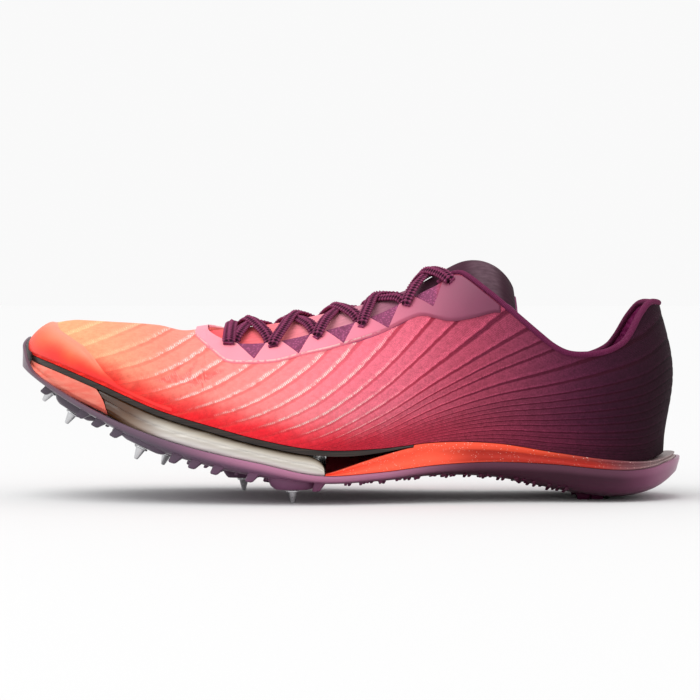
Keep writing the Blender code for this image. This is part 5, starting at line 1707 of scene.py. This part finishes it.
def lug(station, side, across, size, height, rake, taper=0.55, square=5.0):
    """Raked block with rounded edges."""
    here, down = sole_point(station, side, across)
    half = size / 2
    rings = [(0.0, half, 0.0), (0.45, half * mix(1, taper, 0.45), -rake * 0.45),
             (0.88, half * mix(1, taper, 0.8), -rake * 0.88), (1.0, half * taper * 0.8, -rake)]
    return turned(here - down * SINK, here + down * height, rings, 16, square)


def rest_lug(station, side):
    here, slope = sole_point(station, side, REST_ACROSS)
    half = REST_SIZE / 2
    top, low = np.array([here[0], here[1], here[2] + SINK]), np.array([here[0], here[1], 0.0])
    rings = [(0.0, half * 1.1, 0.0), (0.5, half, 0.0), (0.9, half * 0.92, 0.0), (1.0, half * 0.82, 0.0)]
    corners, faces = turned(top, low, rings, 20, 5.0)
    lean_top(corners, here, 0.0, slope)
    return corners, faces


def tread():
    """Everything that stands out of the shell."""
    parts = [pod(pin) for pin in PINS]
    for side in (LATERAL, MEDIAL):
        parts += [lug(s, side, LUG_ACROSS, LUG_SIZE, LUG_HEIGHT, LUG_RAKE) for s in LUG_STATIONS
                  if free_of_pins(s, side, LUG_ACROSS)]
        parts += [lug(s, side, INNER_LUG_ACROSS, LUG_SIZE, LUG_HEIGHT * 0.7, INNER_LUG_RAKE)
                  for s in INNER_LUG_STATIONS if free_of_pins(s, side, INNER_LUG_ACROSS)]
        parts += [rest_lug(s, side) for s in REST_STATIONS]
        for row, across in enumerate(TEETH_ROWS):
            for k in range(TEETH):
                s = TEETH_START - TEETH_STEP * (k + 0.3 * (row % 2)) - 0.25 * TEETH_STEP * math.sin(k * 1.9)
                tall = TOOTH_HEIGHT * (0.75 + 0.35 * math.sin(k * 2.4 + row))
                parts.append(lug(s, side, across, TOOTH_SIZE, tall, TOOTH_RAKE, TOOTH_TAPER, TOOTH_SQUARE))
        for k in range(FORE_TEETH):
            s = FORE_TEETH_START - FORE_TEETH_STEP * k
            if free_of_pins(s, side, FORE_TEETH_ACROSS):
                parts.append(lug(s, side, FORE_TEETH_ACROSS, TOOTH_SIZE * 1.2, TOOTH_HEIGHT, FORE_TOOTH_RAKE,
                                 TOOTH_TAPER, TOOTH_SQUARE))
    return parts


def make_tread():
    corners, faces = gather(tread())
    marks = {"station": station_of(corners[:, 0]), "above": np.full(len(corners), TREAD_DEPTH)}
    return shaded("spike_shell_tread", corners, faces, plastic, marks)


place(make_tread(), "plate_mauve")

# %% [markdown]
# Each pin is turned from steel: a thin flange that seats on its pod, a neck, and a blunt tip. A turned piece is
# its outline spun round an axis, so a short list of radii along the pin gives all of it.

# %% Pins
PIN_FLANGE = 0.0008


def steel(start):
    """Turned steel with fine rings left by the cutter."""
    rings = start.noise(1600.0, 2.0)
    return {"Base Color": linear(206, 206, 208), "Metallic": 1.0, "Roughness": 0.20 + 0.18 * rings,
            "Normal": rings.relief(0.00003)}


def make_pin(number, pin):
    begin, down, _ = pin_start(pin)
    flange = PIN_FLANGE / PIN_LENGTH
    wide, neck, tip = PIN_FLANGE_RADIUS, PIN_NECK_RADIUS, PIN_TIP_RADIUS
    rings = [(0.0, wide * 0.96, 0), (flange * 0.3, wide, 0), (flange * 0.8, wide * 0.97, 0),
             (flange, wide * 0.86, 0), (flange * 1.15, neck * 1.12, 0), (0.34, neck, 0), (0.46, neck * 0.9, 0),
             (0.94, tip * 1.5, 0), (0.985, tip * 1.05, 0), (1.0, tip * 0.7, 0)]
    corners, faces = turned(begin, begin + down * PIN_LENGTH, rings, 24)
    place(shaded(f"steel_pin_{number}", corners, faces, metal), "pin_steel", f"pin_{number}")


metal = finish("turned_steel", steel)
for index, row in enumerate(PINS):
    make_pin(index + 1, row)
print("pins", len(PINS))

# %% [markdown]
# The lace is one flat braid. It starts as a bar over the two lowest eyelets and crosses up the throat. Each run
# comes up through an eyelet, lies over the band, crosses and dives under the other side to the next eyelet.
# The braid's plait is raised in the surface itself, so that its outline looks knotted.

# %% Laces
LACE_WIDTH = 0.0046
LACE_THICK = 0.0022
LACE_STEP = 0.00042
LACE_SIDES = 14
PLAIT = 0.0036
PLAIT_SLANT = 0.45
PLAIT_RISE = 0.0007
LACE_NARROW = 1.55 * EYELET_RADIUS       # the lace is squeezed where it goes through a hole
ENTRY = 0.011            # climb from the middle of a hole to where the lace comes out of it
LIE_DOWN = ENTRY + 0.012 # and to where it lies on the band
TUCK = 0.012             # climb below the hole at which a hidden end stops
CROSS_AT = (0.42, 0.46, 0.43, 0.32, 0.50)
CROSS_DROP = (0.0012, 0.0020, 0.0024, 0.0024, 0.0004)
BAR_DROP = 0.0016
CROSS_CLIMB = 0.985
WEAVE = 0.0009           # one lace of a crossing lies this much higher than their middle, the other lower
OVER_BAND = GAP + OVERLAY_THICK + 0.0002 + LACE_THICK / 2
UNDER_WALL = UPPER_WALL + 0.0007
Turn = namedtuple("Turn", "u side climb out width thick", defaults=(LACE_WIDTH, LACE_THICK))


def plait_bumps(walked, across):
    """Raised plaits that slant both ways across the lace."""
    turns = walked / PLAIT
    slant = PLAIT_SLANT * across
    return PLAIT_RISE * np.cos(2 * math.pi * (turns + slant)) * np.cos(2 * math.pi * (turns - slant))


def braid(start):
    """Dark plum braid, painted darker between its raised plaits as shade, with paler dotted threads."""
    turns = start.mark("along") / PLAIT
    slant = start.mark("across") * PLAIT_SLANT
    plait = (turns + slant + 0.25).wave() * (turns - slant + 0.25).wave()
    threads = (start.mark("along") * 1500.0).wave() * (start.mark("across") * 2.0).wave()
    # The troughs between the raised plaits are painted darker: painted shade.
    body = plait.between(-0.6, 0.5).blend(linear(44, 8, 30), linear(134, 54, 92))
    dotted = (0.5 * threads.between(0.3, 0.9) * plait.between(-0.3, 0.5)).blend(body, linear(196, 120, 152))
    return {"Base Color": dotted, "Roughness": 0.85, "Specular IOR Level": 0.15,
            "Normal": (plait * 0.6 + threads * 0.4).relief(0.0003)}


def between_points(a, b, c, d, t):
    """Point at share t from b to c on the smooth curve through a, b, c and d."""
    return 0.5 * (2 * b + (c - a) * t + (2 * a - 5 * b + 4 * c - d) * t**2 + (3 * b - a - 3 * c + d) * t**3)


def padded(points):
    """The points with one more before the first and after the last, in line with them."""
    return np.concatenate([[2 * points[0] - points[1]], points, [2 * points[-1] - points[-2]]])


def spline(points, spacing):
    """Points at an even spacing on a smooth curve through the given ones."""
    ends = padded(points)
    out = []
    for a, b, c, d in zip(ends, ends[1:], ends[2:], ends[3:]):
        count = max(int(np.linalg.norm((c - b)[:3]) / spacing), 2)
        out.append(between_points(a, b, c, d, column(np.arange(count) / count)))
    return np.concatenate(out + [points[-1:]])


def lace_piece(name, turns):
    """Braid through its turns, each a place on the form with a width and a thickness."""
    table = []
    for turn in turns:
        climb = min(turn.climb, 1.0)
        spot, normal = form(turn.u, turn.side, climb, turn.out), form_normal(turn.u, turn.side, climb)
        table.append([*spot, *normal, turn.width, turn.thick])
    smooth = spline(np.array(table), LACE_STEP)
    path, normal = smooth[:, :3], unit(smooth[:, 3:6])
    return cord(name, path, normal, smooth[:, 6], smooth[:, 7], braided, LACE_SIDES, plait_bumps)


def through_eyelet(u, past, side, hole):
    """Turns of a lace that comes up through an eyelet and lies down on the band."""
    return [Turn(u, side, hole - TUCK, -UNDER_WALL - 0.0016, LACE_NARROW),
            Turn(u, side, hole + ENTRY, 0.0, LACE_NARROW, LACE_THICK * 1.1),
            Turn(past, side, hole + LIE_DOWN, OVER_BAND * 1.05, LACE_WIDTH * 0.92, LACE_THICK * 1.05)]


def crossing(k, side, lift):
    """One run from an eyelet to the far eyelet above: up, over, across, under and up again."""
    u0, low = (float(v) for v in eyelet_place(k, side))
    u1, far = (float(v) for v in eyelet_place(k + 1, -side))
    near_edge, far_edge = float(edge_climb(u0, side)), float(edge_climb(u1, -side))
    drop, middle = CROSS_DROP[k], CROSS_AT[k]

    def way(share):
        return mix(u0, u1, share)

    if k == 0:
        turns = [Turn(u0, side, low, -UNDER_WALL - 0.0014, LACE_NARROW),
                 Turn(way(0.08), side, near_edge, -UPPER_WALL - 0.0001, LACE_WIDTH * 0.9)]
        near = OVER_BAND * 0.3
    else:
        turns = through_eyelet(u0, way(0.02), side, low)
        near = OVER_BAND - drop * 0.35
    turns += [Turn(way(middle * 0.45), side, mix(near_edge, 1.0, 0.25), near),
              Turn(way(middle), LATERAL, CROSS_CLIMB, OVER_BAND + lift - drop)]
    if k == EYELET_COUNT - 2:
        turns.append(Turn(way(0.78), -side, mix(far_edge, 1.0, 0.25), OVER_BAND))
        turns += through_eyelet(u1, way(0.98), -side, far)[::-1]
    else:
        turns += [Turn(way(0.80), -side, mix(far_edge, 1.0, 0.30), OVER_BAND * 0.15 - drop * 0.2),
                  Turn(way(0.95), -side, far_edge, -UNDER_WALL),
                  Turn(u1, -side, mix(far, far_edge, 0.4), -UNDER_WALL - 0.0010, LACE_WIDTH * 0.9),
                  Turn(u1, -side, far - 0.004, -UNDER_WALL - 0.0014, LACE_NARROW)]
    tag = "outer" if side == LATERAL else "inner"
    place(lace_piece(f"lace_run_{k + 1}_{tag}", turns), "lace_braid", f"lace_cross_{k + 1}")


def lace_bar():
    """The bar over the lowest eyelets, down into both."""
    halves = []
    for side in (LATERAL, MEDIAL):
        u, hole = (float(v) for v in eyelet_place(0, side))
        over = mix(float(edge_climb(u, side)), 1.0, 0.3)
        halves.append([Turn(u, side, hole - 0.01, -UNDER_WALL - 0.001, LACE_NARROW),
                       Turn(u, side, hole + ENTRY, 0.0004, LACE_NARROW),
                       Turn(u, side, hole + LIE_DOWN, OVER_BAND * 1.1),
                       Turn(u, side, over, OVER_BAND - BAR_DROP * 0.6)])
    top = Turn(u, LATERAL, 1.0, OVER_BAND - BAR_DROP)
    place(lace_piece("lace_bar_run", halves[0] + [top] + halves[1][::-1]), "lace_braid", "lace_bar")


braided = finish("braided_lace", braid)
lace_bar()
for k in range(EYELET_COUNT - 1):
    for side in (LATERAL, MEDIAL):
        crossing(k, side, WEAVE if (k + (side > 0)) % 2 else -WEAVE)

# %% [markdown]
# The tongue is one thin brushed sheet. It lies under the throat and its free end curls over the collar. A coarse
# grid from the shoe's sizes is smoothed into a fine one, and a knitted edge is swept round its end.

# %% Tongue
TONGUE_FRONT = 0.735
TONGUE_BACK = 0.400
TONGUE_RIBS = 10
TONGUE_SHARES = np.arange(-3, 4) / 3
TONGUE_HALF = 0.0215
TONGUE_GAP = 0.0010
TONGUE_CROWN = 0.0009
TONGUE_WRAP = 0.0060
TONGUE_THICK = 0.0022
TONGUE_TILT = 0.6        # how much the curled end's faces turn towards the sides
TONGUE_FINER = 6
# The tongue's painted sheen lies between these shares of its length.
TONGUE_SHINE = (0.72, 0.88, 0.06)    # shares of the length where the sheet bends, and the fade
TAPE_STEP = 0.0006
TAPE_WIDTH = 0.0022
TAPE_HEIGHT = 0.0036
CURL_REACH = 0.046
CURL_BEND = 1.4
Curl = namedtuple("Curl", "along up half droop")
CURL = [
    Curl(0.13, 0.065, 0.62, 0.24), Curl(0.30, 0.165, 0.66, 0.33), Curl(0.48, 0.250, 0.72, 0.37),
    Curl(0.64, 0.262, 0.75, 0.36), Curl(0.78, 0.215, 0.75, 0.33), Curl(0.89, 0.125, 0.73, 0.29),
    Curl(0.96, 0.015, 0.70, 0.24), Curl(0.975, -0.09, 0.64, 0.18),
]
TONGUE_COLOURS = [(0.0, (246, 74, 80)), (0.2, (248, 120, 128)), (0.36, (226, 150, 166)), (0.50, (140, 84, 108)),
                  (0.60, (62, 26, 44)), (1.0, (40, 16, 28))]


def tongue_cloth(start):
    """Brushed cloth that follows the upper's colours, with a faint painted sheen where it bends."""
    nap = start.noise(1.0, 3.0, start.stretched(260.0, 900.0, 260.0))
    body = start.mark("along").ramp(TONGUE_COLOURS).scaled(0.7 + 0.5 * nap)
    lit = (start.mark("bend") * (0.02 + 0.26 * nap)).blend(body, linear(170, 142, 154))
    return {"Base Color": lit, "Roughness": 0.7, "Specular IOR Level": 0.15, "Normal": nap.relief(0.0002)}


def edge_tape(start):
    ridges = (start.mark("along") * 1300.0).wave()
    # The troughs between the ridges are painted darker: painted shade.
    colour = ridges.between(-1.0, 1.0).blend(linear(104, 40, 76), linear(158, 86, 124))
    return {"Base Color": colour, "Roughness": 0.8, "Specular IOR Level": 0.15, "Normal": ridges.relief(0.0001)}


def tongue_rows():
    """Coarse rows of outer and inner points, front to free end."""
    outer = TONGUE_CROWN * np.clip(1 - 1.6 * np.abs(TONGUE_SHARES), 0, 1) - UPPER_WALL - TONGUE_GAP
    rows = []
    for k in range(TONGUE_RIBS + 1):
        u = float(rib_at(mix(TONGUE_FRONT, TONGUE_BACK, k / TONGUE_RIBS)))
        side = np.where(TONGUE_SHARES < 0, LATERAL, MEDIAL)
        wrap = TONGUE_WRAP * float(mix(0.4, 1.0, step(k / 2)))
        top = throat_climb(np.full(len(side), u), side, wrap)
        climb = mix(1.0, top, np.abs(TONGUE_SHARES))
        rows.append((form(u, side, climb, outer), form(u, side, climb, outer - TONGUE_THICK)))
    root = rows[-1][0][len(TONGUE_SHARES) // 2]
    for k, curl in enumerate(CURL):
        before, after = CURL[max(k - 1, 0)], CURL[min(k + 1, len(CURL) - 1)]
        lean = unit(np.array([-(after.up - before.up), 0, after.along - before.along]))
        x = root[0] + curl.along * CURL_REACH
        ridge = BALL_WIDTH * reading(LAST, "ridge", station_of(x))
        drop = curl.droop * CURL_REACH * np.abs(TONGUE_SHARES) ** CURL_BEND
        spots = stack(x, ridge + TONGUE_SHARES * TONGUE_HALF * curl.half, root[2] + curl.up * CURL_REACH - drop)
        tilt = unit(lean + stack(0.0, TONGUE_SHARES * TONGUE_TILT, 0.0))
        rows.append((spots, spots - tilt * TONGUE_THICK))
    return np.array([row[0] for row in rows]), np.array([row[1] for row in rows])


def finer(grid, count):
    """A grid of points with its rows and columns multiplied along smooth curves."""
    def along(rows):
        ends = padded(rows)
        out = [between_points(ends[:-3], ends[1:-2], ends[2:-1], ends[3:], k / count) for k in range(count)]
        mixed = np.stack(out, axis=1).reshape((-1,) + rows.shape[1:])
        return np.concatenate([mixed, rows[-1:]])
    return np.swapaxes(along(np.swapaxes(along(grid), 0, 1)), 0, 1)


def make_tongue():
    """The sheet, and the tape round its free end."""
    outer, inner = (finer(grid, TONGUE_FINER) for grid in tongue_rows())
    rows, wide = outer.shape[:2]
    faces, _ = skin_faces(rows, wide)
    corners = np.concatenate([outer.reshape(-1, 3), inner.reshape(-1, 3)])
    along = np.repeat(np.linspace(0, 1, rows), wide)
    start, end, fade = TONGUE_SHINE
    bend = step((along - start) / fade) * step((end - along) / fade)
    made = piece("tongue_sheet", corners, faces, [finish("brushed_cloth", tongue_cloth)],
                 {"bend": np.tile(bend, 2), "along": np.tile(along, 2)})
    place(made, "tongue_cloth", "tongue")
    first = TONGUE_RIBS * TONGUE_FINER
    middle = (outer + inner) / 2
    path = np.concatenate([middle[first:, 0], middle[-1, 1:-1], middle[first:, -1][::-1]])
    lift = unit(outer - inner)
    normal = np.concatenate([lift[first:, 0], lift[-1, 1:-1], lift[first:, -1][::-1]])
    smooth = spline(np.concatenate([path, normal], axis=1)[::3], TAPE_STEP)
    edge = cord("tongue_edge_tape", smooth[:, :3], unit(smooth[:, 3:]), TAPE_WIDTH, TAPE_HEIGHT,
                finish("tongue_tape", edge_tape))
    place(edge, "tongue_cloth")


make_tongue()
